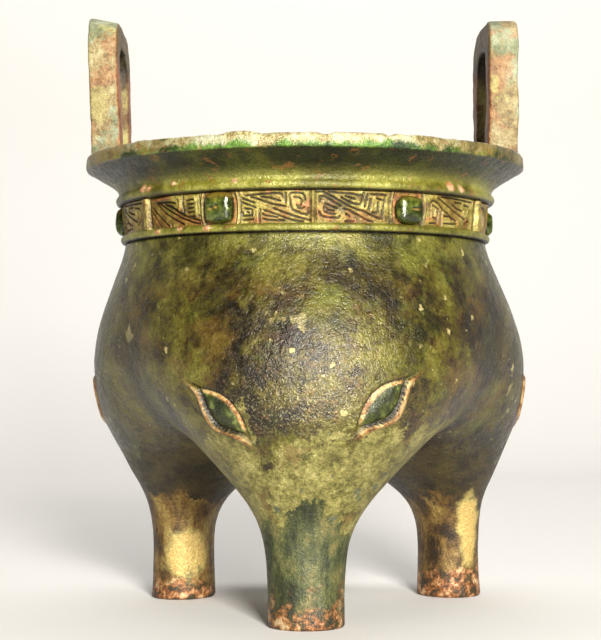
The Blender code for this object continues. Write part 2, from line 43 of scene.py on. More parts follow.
# Every shape below is worked out in millimetres from the rim's centre, the front being -Y.
bodyShape = {
    # height, lobe centre's distance from the axis, half width, radial share of that width
    "sections": (
        (150, 0, 67.5, 1), (134, 0, 67.5, 1), (126, 5, 66.3, 1), (118, 10.5, 65.3, 1),
        (110, 16, 64.1, 1), (100, 22, 62.4, 1), (90, 27.5, 59.7, 0.99), (80, 32.5, 55.5, 0.98),
        (70, 38, 48.2, 0.99), (62, 43, 40, 0.99), (55, 48, 32.8, 0.95), (48, 52.5, 26.2, 0.90),
        (42, 55, 20.8, 0.82), (36, 56.5, 17, 0.77), (28, 57, 14.4, 0.78), (18, 57, 13.4, 0.83),
        (8, 57, 13.1, 0.88), (0, 57.3, 13.3, 0.92),
    ),
    "insideSections": (
        (150, 0, 63.9, 1), (134, 0, 63.9, 1), (126, 5, 62.7, 1), (118, 10.5, 61.6, 1),
        (110, 16, 60.3, 1), (100, 22, 58.5, 1), (90, 27.8, 55.4, 1), (80, 33.2, 50.4, 1),
        (70, 39.3, 42.4, 1), (62, 44.8, 33, 1), (56, 48.5, 23, 1), (51, 50.5, 13, 1),
        (47, 51.5, 3, 1), (40, 52, -16, 1),
    ),
    "smoothing": 3,
    # belly direction, foot direction (degrees), belly reach, foot reach
    "lobes": ((-86.5, -90, 1, 1), (29.5, 25.5, 1.015, 1.08), (148, 154, 0.935, 0.93)),
    "belly": 90,
    "ankle": 20,
    "cleftBlend": 8,
    "cleftShare": 0.30,
    "top": 136.8,
    "seamRows": (0.8, 1.2, 1.5, 1.8, 2.1, 2.5),  # below the top, where the lower bead meets the body
    "lowestRing": 66,
    "legTop": 35,
    "wideStep": 1.5,  # degrees between columns away from the eyes
    "closeStep": 0.36,  # and across an eye
    "unevenness": 0.17,
    # front lobe's crust: sideways from its middle, height of the crust's upper edge
    "crustTop": ((-60, 64), (-36, 66), (-27, 70), (-23.5, 79), (-20.5, 80), (-17.5, 66), (-12, 57),
                 (-7, 60), (0, 64), (8, 66), (20, 66), (30, 70), (60, 70)),
    "crustFoot": 44,
    "crustFall": 0.75,
}


def smoothForm(rows):
    table = np.array(rows[::-1], float)
    heights = np.arange(-20, 170, 0.5)
    spread = bodyShape["smoothing"]
    reach = np.arange(-4 * spread, 4 * spread + 0.25, 0.5)
    bell = np.exp(-0.5 * (reach / spread) ** 2)
    bell /= bell.sum()
    columns = []
    for column in (1, 2, 3):
        raw = np.interp(heights, table[:, 0], table[:, column])
        padded = np.pad(raw, len(bell) // 2, mode="edge")
        columns.append(np.convolve(padded, bell, "valid"))
    return {"heights": heights, "columns": columns}


outside = smoothForm(bodyShape["sections"])
inside = smoothForm(bodyShape["insideSections"])


def sectionAt(form, z):
    return [np.interp(z, form["heights"], column) for column in form["columns"]]


def lobePlace(form, lobe, z):
    bellyWay, footWay, bellyReach, footReach = bodyShape["lobes"][lobe]
    share = np.clip((z - bodyShape["ankle"]) / (bodyShape["belly"] - bodyShape["ankle"]), 0, 1)
    share = share * share * (3 - 2 * share)
    offset = sectionAt(form, z)[0] * (footReach + (bellyReach - footReach) * share)
    return np.radians(footWay + (bellyWay - footWay) * share), offset


def lobeSpans(form, points):
    x, y, z = points.T
    middle, halfWidth, radial = sectionAt(form, z)
    spans = []
    for lobe in range(3):
        way, offset = lobePlace(form, lobe, z)
        along = x * np.cos(way) + y * np.sin(way) - offset
        across = -x * np.sin(way) + y * np.cos(way)
        spans.append(np.hypot(along / radial, across) - halfWidth)
    return np.array(spans), middle


def skinField(form, points):
    # below zero inside the lobes, zero on their skin
    spans, middle = lobeSpans(form, points)
    blend = np.maximum(np.minimum(bodyShape["cleftBlend"], bodyShape["cleftShare"] * middle), 0.01)
    nearest = spans.min(axis=0)
    spread = np.exp(-np.minimum((spans - nearest) / blend, 60)).sum(axis=0)
    return nearest - blend * np.log(spread)


def skinSlope(form, points):
    parts = []
    for shift in np.eye(3) * 0.05:
        parts.append((skinField(form, points + shift) - skinField(form, points - shift)) / 0.1)
    return np.array(parts).T


def castOut(form, starts, ways, farthest):
    near = np.zeros(len(starts))
    far = np.full(len(starts), float(farthest))
    for _ in range(34):
        middle = (near + far) / 2
        within = skinField(form, starts + ways * middle[:, None]) < 0
        near = np.where(within, middle, near)
        far = np.where(within, far, middle)
    return starts + ways * near[:, None]


def settleOnSkin(form, points):
    points = points.copy()
    for _ in range(12):
        slope = skinSlope(form, points)
        steepness = np.maximum((slope**2).sum(axis=1), 0.2)
        points -= np.clip(slope * (skinField(form, points) / steepness)[:, None], -4, 4)
    return points


def ringAt(form, ways, z):
    starts = np.column_stack([0 * ways, 0 * ways, 0 * ways + z])
    return castOut(form, starts, np.column_stack([np.cos(ways), np.sin(ways), 0 * ways]), 120)


def legLoop(lobe, turns, z):
    way, offset = lobePlace(outside, lobe, z)
    _, halfWidth, radial = sectionAt(outside, z)
    along = offset + halfWidth * radial * np.cos(turns)
    across = halfWidth * np.sin(turns)
    x = along * np.cos(way) - across * np.sin(way)
    y = along * np.sin(way) + across * np.cos(way)
    return np.column_stack([x, y, 0 * x + z])


def softStep(value, low, high):
    share = np.clip((value - low) / (high - low), 0, 1)
    return share * share * (3 - 2 * share)


def spacedOut(start, end, stepAt):
    # places from start up to end, as far apart as stepAt says
    fine = np.linspace(start, end, 4001)
    count = np.concatenate([[0], np.cumsum(np.diff(fine) / stepAt(fine)[:-1])])
    total = int(round(count[-1]))
    return np.interp(np.arange(total) * count[-1] / total, count, fine)


def roughness(points, size, amount, seed=0.0):
    moved = points / size + seed
    return amount * np.array([noise.noise(Vector(p)) for p in moved])


def turned(angle, radius, z):
    # points of a turned form; angle in degrees from the front towards the right
    way = np.radians(angle)
    return np.column_stack([radius * np.sin(way), -radius * np.cos(way), z + 0 * radius])


def pieceFrom(name, points, faces, material, marks=None):
    mesh = bpy.data.meshes.new(name)
    mesh.from_pydata((np.asarray(points) * mm).tolist(), [], faces)
    mesh.shade_smooth()
    for mark, values in (marks or {}).items():
        layer = mesh.attributes.new(mark, "FLOAT", "POINT")
        layer.data.foreach_set("value", np.asarray(values, np.float32).ravel())
    mesh.materials.append(material)
    piece = bpy.data.objects.new(name, mesh)
    bpy.context.scene.collection.objects.link(piece)
    piece.location = vesselAxis
    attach(piece, "root")
    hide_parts("ding_vessel")
    print(name, len(points), "points")
    return piece


def bandFaces(upper, lower, closed=True):
    upper, lower = np.asarray(upper), np.asarray(lower)
    if closed:
        quads = np.column_stack([upper, lower, np.roll(lower, -1), np.roll(upper, -1)])
    else:
        quads = np.column_stack([upper[:-1], lower[:-1], lower[1:], upper[1:]])
    return quads.tolist()


def tone(red, green, blue):
    # a colour as seen on a screen, 0 to 255, turned into what the shader wants
    parts = [value / 255 for value in (red, green, blue)]
    return tuple(p / 12.92 if p < 0.04045 else ((p + 0.055) / 1.055) ** 2.4 for p in parts) + (1,)


class Patina:
    # a short way to write a material's node tree
    def __init__(self, name):
        self.material = bpy.data.materials.new(name)
        self.material.use_nodes = True
        self.tree = self.material.node_tree
        self.shader = self.tree.nodes["Principled BSDF"]
        self.place = self.add("ShaderNodeTexCoord").outputs["Object"]
        self.x, self.y, self.z = self.add("ShaderNodeSeparateXYZ", Vector=self.place).outputs

    def add(self, kind, settings=None, **inputs):
        node = self.tree.nodes.new(kind)
        for key, value in (settings or {}).items():
            setattr(node, key, value)
        for key, value in inputs.items():
            self.feed(node.inputs[key.replace("_", " ")], value)
        return node

    def feed(self, socket, value):
        if isinstance(value, bpy.types.NodeSocket):
            self.tree.links.new(value, socket)
        else:
            socket.default_value = value

    def moved(self, scale=(1, 1, 1), shift=(0, 0, 0)):
        node = self.add("ShaderNodeMapping", Vector=self.place)
        node.inputs["Scale"].default_value = scale
        node.inputs["Location"].default_value = shift
        return node.outputs[0]

    def cloud(self, scale, detail=5.0, rough=0.55, stretch=(1, 1, 1), twist=0.0, shift=0.0):
        place = self.moved(stretch, (shift, shift * 1.7, shift * 0.6))
        return self.add("ShaderNodeTexNoise", Vector=place, Scale=scale, Detail=detail,
                        Roughness=rough, Distortion=twist).outputs["Fac"]

    def between(self, value, low, high):
        node = self.add("ShaderNodeMapRange", {"interpolation_type": "SMOOTHSTEP"}, Value=value)
        node.inputs["From Min"].default_value = low
        node.inputs["From Max"].default_value = high
        return node.outputs["Result"]

    def work(self, operation, first, second=0.0):
        node = self.add("ShaderNodeMath", {"operation": operation})
        self.feed(node.inputs[0], first)
        self.feed(node.inputs[1], second)
        return node.outputs[0]

    def times(self, *values):
        result = values[0]
        for value in values[1:]:
            result = self.work("MULTIPLY", result, value)
        return result

    def total(self, *pairs):
        # each value times its weight, added up
        result = None
        for value, weight in pairs:
            part = self.work("MULTIPLY", value, weight)
            result = self.work("ADD", result, part) if result else part
        return result

    def blend(self, share, below, above, kind="MIX"):
        node = self.add("ShaderNodeMix", {"data_type": "RGBA", "blend_type": kind})
        self.feed(node.inputs[0], share)
        self.feed(node.inputs[6], below)
        self.feed(node.inputs[7], above)
        return node.outputs[2]

    def ramp(self, value, *stops):
        node = self.add("ShaderNodeValToRGB", Fac=value)
        points = node.color_ramp.elements
        while len(points) < len(stops):
            points.new(0.5)
        for point, (at, colour) in zip(points, stops):
            point.position = at
            point.color = colour
        return node.outputs["Color"]

    def mark(self, name):
        return self.add("ShaderNodeAttribute", {"attribute_name": name}).outputs["Fac"]

    def patch(self, centre, size, ragged):
        # 1 within a ragged blot round centre; centre and size in millimetres
        scale = [1 / (mm * s) for s in size]
        place = self.moved(scale, [-c / s for c, s in zip(centre, size)])
        away = self.add("ShaderNodeVectorMath", {"operation": "LENGTH"}, Vector=place).outputs["Value"]
        return self.between(self.total((away, 1.0), (ragged, 1.6)), 2.0, 1.5)

    def flecks(self, scale, keep, size, stretch=(1, 1, 1), shift=0.0):
        # scattered flecks with uneven edges: only the share keep of the cells holds one
        place = self.moved(stretch, (shift, shift, shift))
        wobble = self.add("ShaderNodeTexNoise", Vector=place, Scale=scale * 2.5, Detail=2.0)
        bent = self.add("ShaderNodeVectorMath", {"operation": "MULTIPLY_ADD"})
        self.feed(bent.inputs[0], wobble.outputs["Color"])
        bent.inputs[1].default_value = (0.8 / scale,) * 3
        self.feed(bent.inputs[2], place)
        cells = self.add("ShaderNodeTexVoronoi", Vector=bent.outputs[0], Scale=scale)
        split = self.add("ShaderNodeSeparateColor", Color=cells.outputs["Color"])
        chosen = self.between(split.outputs[0], keep, keep - 0.02)
        reach = self.total((split.outputs[1], size * 0.7), (1.0, size * 0.3))
        edge = self.work("SUBTRACT", reach, cells.outputs["Distance"])
        return self.times(chosen, self.between(edge, 0.0, size * 0.22))

    def bump(self, *layers):
        normal = None
        for height, distance in layers:
            node = self.add("ShaderNodeBump", Height=height)
            node.inputs["Distance"].default_value = distance
            if normal:
                self.feed(node.inputs["Normal"], normal)
            normal = node.outputs["Normal"]
        self.feed(self.shader.inputs["Normal"], normal)

    def finish(self, colour, rough, metal, shine=0.5):
        self.feed(self.shader.inputs["Base Color"], colour)
        self.feed(self.shader.inputs["Roughness"], rough)
        self.shader.inputs["Metallic"].default_value = metal
        self.shader.inputs["Specular IOR Level"].default_value = shine
        return self.material


def bodyPatina():
    n = Patina("bodyPatina")
    broad, mottle = n.cloud(27, 4, 0.6, twist=0.5), n.cloud(95, 6, 0.7, twist=0.3)
    fine, grain = n.cloud(430, 4, 0.72), n.cloud(1300, 2, 0.7)
    patchy = n.cloud(46, 5, 0.62, shift=2.0)
    mixed = n.total((broad, 0.42), (mottle, 0.40), (fine, 0.18))
    colour = n.ramp(mixed, (0.415, tone(30, 23, 7)), (0.46, tone(56, 46, 13)), (0.50, tone(82, 72, 20)),
                    (0.54, tone(104, 97, 28)), (0.60, tone(128, 120, 50)))
    # browner and greener clouds, then a yellow-green top under the frieze
    colour = n.blend(n.times(n.between(patchy, 0.49, 0.58), 0.60), colour,
                     n.ramp(mottle, (0.40, tone(42, 25, 8)), (0.60, tone(106, 74, 30))))
    colour = n.blend(n.times(n.between(n.cloud(60, 5, 0.6, shift=4.0), 0.53, 0.61), 0.4), colour,
                     n.ramp(mottle, (0.42, tone(46, 52, 13)), (0.60, tone(98, 108, 32))))
    high = n.between(n.total((n.z, 1.0), (patchy, 0.06)), 0.146, 0.162)
    colour = n.blend(n.times(high, 0.55), colour,
                     n.ramp(mottle, (0.40, tone(72, 70, 20)), (0.60, tone(142, 140, 60))))
    # reddish grains over the belly, and cream specks there as painted glints
    belly = n.times(n.between(n.z, 0.062, 0.078), n.between(n.z, 0.124, 0.104), n.mark("bulge"))
    grains = n.times(belly, n.between(fine, 0.52, 0.60), n.between(patchy, 0.40, 0.52))
    colour = n.blend(n.times(grains, 0.75), colour, tone(120, 70, 40))
    # painted glints: cream specks over the belly
    colour = n.blend(n.times(belly, n.between(grain, 0.53, 0.66), 0.55), colour, tone(178, 166, 118))
    pits = n.between(n.cloud(700, 3, 0.7, shift=1.0), 0.40, 0.33)
    colour = n.blend(n.times(pits, 0.7), colour, tone(22, 18, 6))
    # khaki crust where the lobes draw in to the legs, ragged at its edges, with grey-green spots
    ragged = n.work("SUBTRACT", n.cloud(75, 8, 0.72), 0.5)
    front = n.between(n.y, -0.020, -0.034)
    margin = n.total((n.mark("crust"), 1.0), (ragged, 42.0), (n.cloud(600, 3, 0.7), 5.0), (1.0, -2.5))
    crust = n.between(margin, -0.6, 0.9)
    crustTone = n.ramp(n.total((n.cloud(170, 6, 0.72), 0.6), (fine, 0.4)), (0.40, tone(84, 79, 31)),
                       (0.47, tone(122, 115, 54)), (0.54, tone(152, 143, 78)), (0.62, tone(178, 167, 104)))
    crustTone = n.blend(n.times(n.between(n.cloud(120, 5, 0.7, shift=6.0), 0.56, 0.63), 0.6), crustTone,
                        tone(112, 84, 38))
    crustTone = n.blend(n.times(n.flecks(210, 0.30, 0.42), 0.7), crustTone, tone(70, 84, 74))
    # the back lobes' lower parts: dark brown patina deepened as painted shade
    backCrustAndShade = n.ramp(n.cloud(110, 6, 0.7), (0.40, tone(44, 34, 11)), (0.60, tone(102, 86, 36)))
    colour = n.blend(n.times(crust, 0.92), colour, n.blend(front, backCrustAndShade, crustTone))
    # painted shade: darker and browner away from the front
    flankShade = n.between(n.y, -0.036, -0.004)
    colour = n.blend(n.times(flankShade, 0.5), colour, tone(32, 24, 8))
    # legs: dark green in front, tan and cream with orange behind, with painted highlights on the back legs'
    # fronts
    legStreak = n.cloud(170, 6, 0.7, stretch=(1, 1, 0.35))
    legTone = n.ramp(n.total((legStreak, 0.6), (mottle, 0.4)), (0.40, tone(34, 39, 15)),
                     (0.48, tone(62, 67, 30)), (0.54, tone(90, 93, 48)), (0.62, tone(126, 112, 62)))
    backTone = n.ramp(n.total((legStreak, 0.5), (mottle, 0.5)), (0.40, tone(50, 34, 12)),
                      (0.47, tone(94, 68, 26)), (0.53, tone(130, 100, 44)), (0.61, tone(168, 144, 76)))
    leg = n.between(n.total((n.mark("leg"), 1.0), (ragged, 34.0), (n.cloud(600, 3, 0.7), 4.0), (1.0, -2.0)),
                    -0.8, 0.8)
    colour = n.blend(leg, colour, n.blend(front, backTone, legTone))
    # painted highlights: pale patches on the fronts of the back legs, where the key light falls
    legHighlightWest = n.patch((-46, 13, 17), (8.5, 12, 11.5), n.cloud(90, 4, 0.6))
    legHighlightEast = n.patch((62, 17, 30), (4.5, 12, 17), n.cloud(120, 4, 0.6))
    colour = n.blend(n.times(n.work("MAXIMUM", legHighlightWest, legHighlightEast), 0.85), colour, tone(214, 192, 112))
    # brown, orange and cream at the feet
    foot = n.between(n.total((n.z, 1.0), (ragged, 0.05)), 0.013, 0.004)
    footTone = n.ramp(n.cloud(260, 5, 0.7, shift=3.0), (0.44, tone(46, 44, 26)), (0.50, tone(142, 84, 40)),
                      (0.56, tone(196, 130, 76)), (0.62, tone(222, 200, 150)))
    colour = n.blend(n.times(foot, 0.8), colour, footTone)
    # cream flecks
    cream = n.work("MAXIMUM", n.flecks(115, 0.20, 0.34, (1, 1, 0.8)), n.flecks(300, 0.16, 0.40, shift=0.3))
    cream = n.times(cream, n.between(n.cloud(30, 3, shift=5.0), 0.43, 0.54), n.between(n.z, 0.05, 0.075))
    colour = n.blend(n.times(cream, 0.85), colour, tone(200, 184, 122))
    # eyes
    lens, lip, groove = n.mark("lens"), n.mark("lip"), n.mark("groove")
    lensTone = n.ramp(n.cloud(240, 4), (0.42, tone(30, 42, 12)), (0.56, tone(66, 76, 24)),
                      (0.64, tone(116, 128, 58)))
    lipTone = n.ramp(n.total((n.cloud(260, 4, shift=1.0), 0.7), (fine, 0.3)), (0.42, tone(132, 84, 38)),
                     (0.49, tone(186, 132, 70)), (0.56, tone(214, 184, 122)))
    colour = n.blend(n.times(lens, 0.9), colour, lensTone)
    colour = n.blend(n.times(lip, 0.92), colour, lipTone)
    # painted shade in the clefts between the lobes, along the eyes' lids and lens feet, and at the seam
    # under the lower bead
    colour = n.blend(n.times(n.mark("cleft"), 0.75), colour, tone(24, 20, 7))
    colour = n.blend(n.times(groove, 0.95), colour, tone(14, 9, 3))
    shade = n.ramp(grain, (0.32, tone(70, 70, 70)), (0.68, tone(186, 186, 186)))
    colour = n.blend(0.55, colour, shade, "OVERLAY")

    rough = n.total((n.between(fine, 0.35, 0.70), 0.20), (crust, 0.18), (1.0, 0.25))
    n.bump((fine, 0.0004), (grain, 0.00025), (n.cloud(200, 5, 0.65), 0.0006))
    return n.finish(colour, rough, 0.25, 0.6)


def friezePatina():
    n = Patina("friezePatina")
    fine, grain = n.cloud(430, 4, 0.72), n.cloud(1300, 2, 0.7)
    mixed = n.total((n.cloud(60, 4, 0.6), 0.45), (n.cloud(240, 4, 0.65, shift=2.0), 0.55))
    colour = n.ramp(mixed, (0.42, tone(92, 78, 24)), (0.49, tone(130, 116, 42)), (0.55, tone(160, 146, 66)),
                    (0.62, tone(196, 180, 104)))
    dirt = n.times(n.mark("dirt"), n.between(n.cloud(120, 5, 0.65, shift=6.0), 0.40, 0.58))
    dirtTone = n.ramp(fine, (0.40, tone(118, 66, 26)), (0.60, tone(188, 116, 58)))
    colour = n.blend(n.times(dirt, 0.85), colour, dirtTone)
    crusted = n.between(n.cloud(150, 5, 0.7, shift=9.0), 0.60, 0.66)
    colour = n.blend(n.times(crusted, 0.7), colour, tone(196, 122, 76))
    # near black in the cuts; painted shadow along the frieze's top and bottom edges
    colour = n.blend(n.times(n.mark("groove"), 0.95), colour, tone(16, 10, 3))
    shade = n.ramp(grain, (0.32, tone(70, 70, 70)), (0.68, tone(186, 186, 186)))
    colour = n.blend(0.5, colour, shade, "OVERLAY")
    rough = n.total((n.between(fine, 0.35, 0.70), 0.25), (1.0, 0.30))
    n.bump((fine, 0.0005), (grain, 0.0003))
    return n.finish(colour, rough, 0.25, 0.6)


def neckPatina():
    n = Patina("neckPatina")
    fine, grain = n.cloud(430, 4, 0.72), n.cloud(1300, 2, 0.7)
    mottle = n.cloud(75, 6, 0.68)
    mixed = n.total((mottle, 0.6), (n.cloud(30, 4, 0.6), 0.4))
    # dark green painted shade under the rim, where the hollow faces down; yellow-green and olive on the
    # beads
    shadedHollow = n.ramp(mixed, (0.42, tone(16, 22, 4)), (0.50, tone(36, 42, 8)), (0.58, tone(72, 74, 18)))
    bead = n.ramp(mixed, (0.42, tone(92, 88, 24)), (0.50, tone(134, 130, 44)), (0.58, tone(172, 168, 82)))
    colour = n.blend(n.between(n.total((n.z, 1.0), (mottle, 0.008)), 0.1625, 0.1565), shadedHollow, bead)
    # the rim's edge: cream and tan crust with bright green along its foot
    crust = n.ramp(n.total((n.cloud(90, 5, 0.68, shift=1.0), 0.7), (fine, 0.3)), (0.40, tone(96, 92, 36)),
                   (0.47, tone(150, 132, 82)), (0.53, tone(178, 170, 120)), (0.60, tone(190, 190, 156)))
    green = n.ramp(mottle, (0.42, tone(36, 58, 12)), (0.58, tone(96, 132, 40)))
    worn = n.total((n.z, 1.0), (n.cloud(110, 5, 0.65, shift=3.0), 0.011))
    edge = n.blend(n.between(worn, 0.1685, 0.1705), green, crust)
    # painted shade: the rim's edge darker towards the left and right sides
    away = n.between(n.add("ShaderNodeMath", {"operation": "ABSOLUTE"}, Value=n.x).outputs[0], 0.040, 0.072)
    shadedSideEdge = n.ramp(mottle, (0.44, tone(44, 46, 14)), (0.58, tone(150, 124, 62)))
    edge = n.blend(n.times(away, 0.75), edge, shadedSideEdge)
    rim = n.between(n.total((n.z, 1.0), (fine, 0.0012)), 0.1626, 0.1632)
    mouth = n.mark("mouth")
    colour = n.blend(n.times(rim, n.work("SUBTRACT", 1.0, mouth)), colour, edge)
    colour = n.blend(mouth, colour, n.ramp(mixed, (0.42, tone(40, 36, 14)), (0.58, tone(120, 104, 54))))
    # pale lumps and rust; painted shadow in the joints below the beads
    lumpTone = n.ramp(fine, (0.42, tone(190, 124, 76)), (0.56, tone(226, 190, 146)))
    colour = n.blend(n.mark("lump"), colour, lumpTone)
    rust = n.between(n.cloud(170, 5, 0.7, shift=7.0), 0.585, 0.64)
    colour = n.blend(n.times(rust, 0.55), colour, tone(150, 96, 48))
    colour = n.blend(n.mark("groove"), colour, tone(12, 9, 3))
    shade = n.ramp(grain, (0.32, tone(70, 70, 70)), (0.68, tone(186, 186, 186)))
    colour = n.blend(0.5, colour, shade, "OVERLAY")
    rough = n.total((n.between(fine, 0.35, 0.70), 0.24), (1.0, 0.27))
    n.bump((fine, 0.0006), (grain, 0.0003))
    return n.finish(colour, rough, 0.25, 0.6)


def bossPatina():
    n = Patina("bossPatina")
    fine = n.cloud(430, 4, 0.7)
    colour = n.ramp(n.total((n.cloud(110, 4, 0.6), 0.6), (fine, 0.4)), (0.42, tone(24, 30, 6)),
                    (0.50, tone(50, 60, 16)), (0.56, tone(80, 88, 28)), (0.63, tone(120, 114, 50)))
    crown = n.times(n.between(n.total((n.z, 1.0), (fine, 0.003)), 0.1475, 0.1500), 0.7)
    colour = n.blend(crown, colour, tone(122, 96, 34))
    # near black in the pits; painted shadow round the boss's foot
    colour = n.blend(n.mark("groove"), colour, tone(12, 8, 3))
    colour = n.blend(n.mark("lump"), colour, tone(186, 150, 84))
    rough = n.total((n.between(fine, 0.40, 0.66), 0.16), (1.0, 0.12))
    n.bump((fine, 0.0003))
    return n.finish(colour, rough, 0.15, 0.7)


def handlePatina(name, warm):
    n = Patina(name)
    fine, grain = n.cloud(430, 4, 0.72), n.cloud(1300, 2, 0.7)
    mottle, patchy = n.cloud(105, 6, 0.66), n.cloud(62, 5, 0.6, shift=warm * 5)
    colour = n.ramp(n.total((mottle, 0.65), (fine, 0.35)), (0.41, tone(104, 84, 46)),
                    (0.47, tone(138, 116, 70)), (0.53, tone(160, 142, 96)), (0.60, tone(182, 170, 126)))
    mint = n.between(n.total((patchy, 1.0), (n.z, 1.6)), 0.79 + 0.03 * warm, 0.86 + 0.03 * warm)
    mintTone = n.ramp(mottle, (0.42, tone(104, 116, 78)), (0.58, tone(158, 168, 136)))
    colour = n.blend(n.times(mint, 0.8), colour, mintTone)
    blush = n.between(n.cloud(85, 5, 0.62, shift=3.0 + warm), 0.53, 0.61)
    blushTone = n.ramp(fine, (0.42, tone(142, 90, 50)), (0.58, tone(178, 132, 88)))
    colour = n.blend(n.times(blush, 0.6), colour, blushTone)
    yellow = n.between(n.cloud(70, 4, 0.6, shift=8.0 + warm), 0.55, 0.62)
    colour = n.blend(n.times(yellow, 0.45 + 0.3 * warm), colour, tone(180, 172, 100))
    # orange rust on the side that looks into the mouth, dark olive at that side's top, and painted shadow
    # within the opening near its top
    side = n.mark("innerSide")
    sideTone = n.ramp(n.total((mottle, 0.6), (fine, 0.4)), (0.42, tone(112, 58, 22)),
                      (0.50, tone(158, 86, 40)), (0.58, tone(182, 122, 70)))
    colour = n.blend(n.times(side, 0.9), colour, sideTone)
    darkTop = n.between(n.total((n.z, 1.0), (patchy, 0.02)), 0.206, 0.216)
    colour = n.blend(n.times(side, darkTop, 0.75), colour, tone(72, 74, 26))
    opening = n.mark("opening")
    openTone = n.ramp(mottle, (0.42, tone(104, 72, 32)), (0.56, tone(176, 164, 96)))
    colour = n.blend(n.times(opening, 0.8), colour, openTone)
    # painted shadow: dark within the opening near its top
    colour = n.blend(n.times(opening, n.between(n.z, 0.190, 0.204), 0.9), colour, tone(26, 18, 8))
    pits = n.between(n.cloud(700, 3, 0.7, shift=1.0), 0.40, 0.34)
    colour = n.blend(n.times(pits, 0.5), colour, tone(80, 58, 30))
    shade = n.ramp(grain, (0.32, tone(84, 84, 84)), (0.68, tone(172, 172, 172)))
    colour = n.blend(0.45, colour, shade, "OVERLAY")
    rough = n.total((n.between(fine, 0.35, 0.70), 0.20), (1.0, 0.42))
    n.bump((fine, 0.0006), (grain, 0.0003), (mottle, 0.0008))
    return n.finish(colour, rough, 0.08, 0.45)


def insidePatina():
    n = Patina("insidePatina")
    fine = n.cloud(430, 4, 0.7)
    colour = n.ramp(n.total((n.cloud(70, 6, 0.65), 0.7), (fine, 0.3)), (0.42, tone(34, 30, 12)),
                    (0.50, tone(72, 62, 28)), (0.58, tone(124, 110, 60)))
    n.bump((fine, 0.0006), (n.cloud(160, 5, 0.65), 0.0012))
    rough = n.total((n.between(fine, 0.35, 0.70), 0.2), (1.0, 0.45))
    return n.finish(colour, rough, 0.15)


bronzeBody = bodyPatina()
bronzeFrieze = friezePatina()
bronzeNeck = neckPatina()
bronzeBoss = bossPatina()
bronzeInside = insidePatina()
print("patina ready")


eyeShape = {
    # outlines in millimetres: along the eye towards its outer corner, then up across it
    "upperLid": ((-19, -2.6), (-14.5, -1.4), (-10.7, 2.0), (-6.2, 4.5), (-0.7, 5.65), (3.6, 5.0),
                 (7.2, 3.2), (11, 0.5), (14.5, -1.2), (19, -3.0)),
    "lensFoot": ((-19, -3.0), (-14.5, -1.8), (-10.9, -0.9), (-7, -3.2), (-4, -5.1), (-1.6, -5.8),
                 (1.7, -5.4), (5.6, -3.6), (9.7, -1.0), (11, -0.2), (14.5, -1.6), (19, -3.4)),
    "lipFoot": ((-19, -4.0), (-14.8, -3.9), (-9, -4.9), (-5.5, -6.7), (-1.5, -8.7), (1, -8.9),
                (5, -7.1), (9.4, -4.4), (12.7, -3.2), (19, -4.4)),
    "tips": (-11.0, 11.0),
    "tails": (-16.5, 18.5),
    "sunk": 1.25,
    "lensRise": 1.9,
    "lipRise": 0.95,
    "slant": 44,
    # lobe, side, direction from the lobe's middle, height
    "places": ((0, -1, -38.9, 74.5), (0, 1, 23.8, 77.3), (1, -1, -32, 76.5), (1, 1, 32, 76.5),
               (2, -1, -32, 76.5), (2, 1, 32, 76.5)),
}


def eyePlace(lobe, side, angle, height):
    start = legLoop(lobe, np.array([math.radians(angle)]), height)
    origin = settleOnSkin(outside, start)[0]
    slope = skinSlope(outside, origin[None])[0]
    normal = slope / np.linalg.norm(slope)
    level = np.cross([0, 0, 1], normal)
    level *= side / np.linalg.norm(level)
    rise = np.cross(normal, level) * side
    slant = math.radians(eyeShape["slant"])
    return {
        "origin": origin,
        "normal": normal,
        "long": level * math.cos(slant) + rise * math.sin(slant),
        "short": rise * math.cos(slant) - level * math.sin(slant),
    }


def softCurve(points):
    at = np.arange(-30, 30, 0.1)
    table = np.array(points, float)
    raw = np.interp(at, table[:, 0], table[:, 1])
    reach = np.arange(-2.4, 2.45, 0.1)
    bell = np.exp(-0.5 * (reach / 0.8) ** 2)
    bell /= bell.sum()
    smooth = np.convolve(np.pad(raw, len(bell) // 2, mode="edge"), bell, "valid")
    return lambda p: np.interp(p, at, smooth)


lidCurve = softCurve(eyeShape["upperLid"])
lensCurve = softCurve(eyeShape["lensFoot"])
lipCurve = softCurve(eyeShape["lipFoot"])


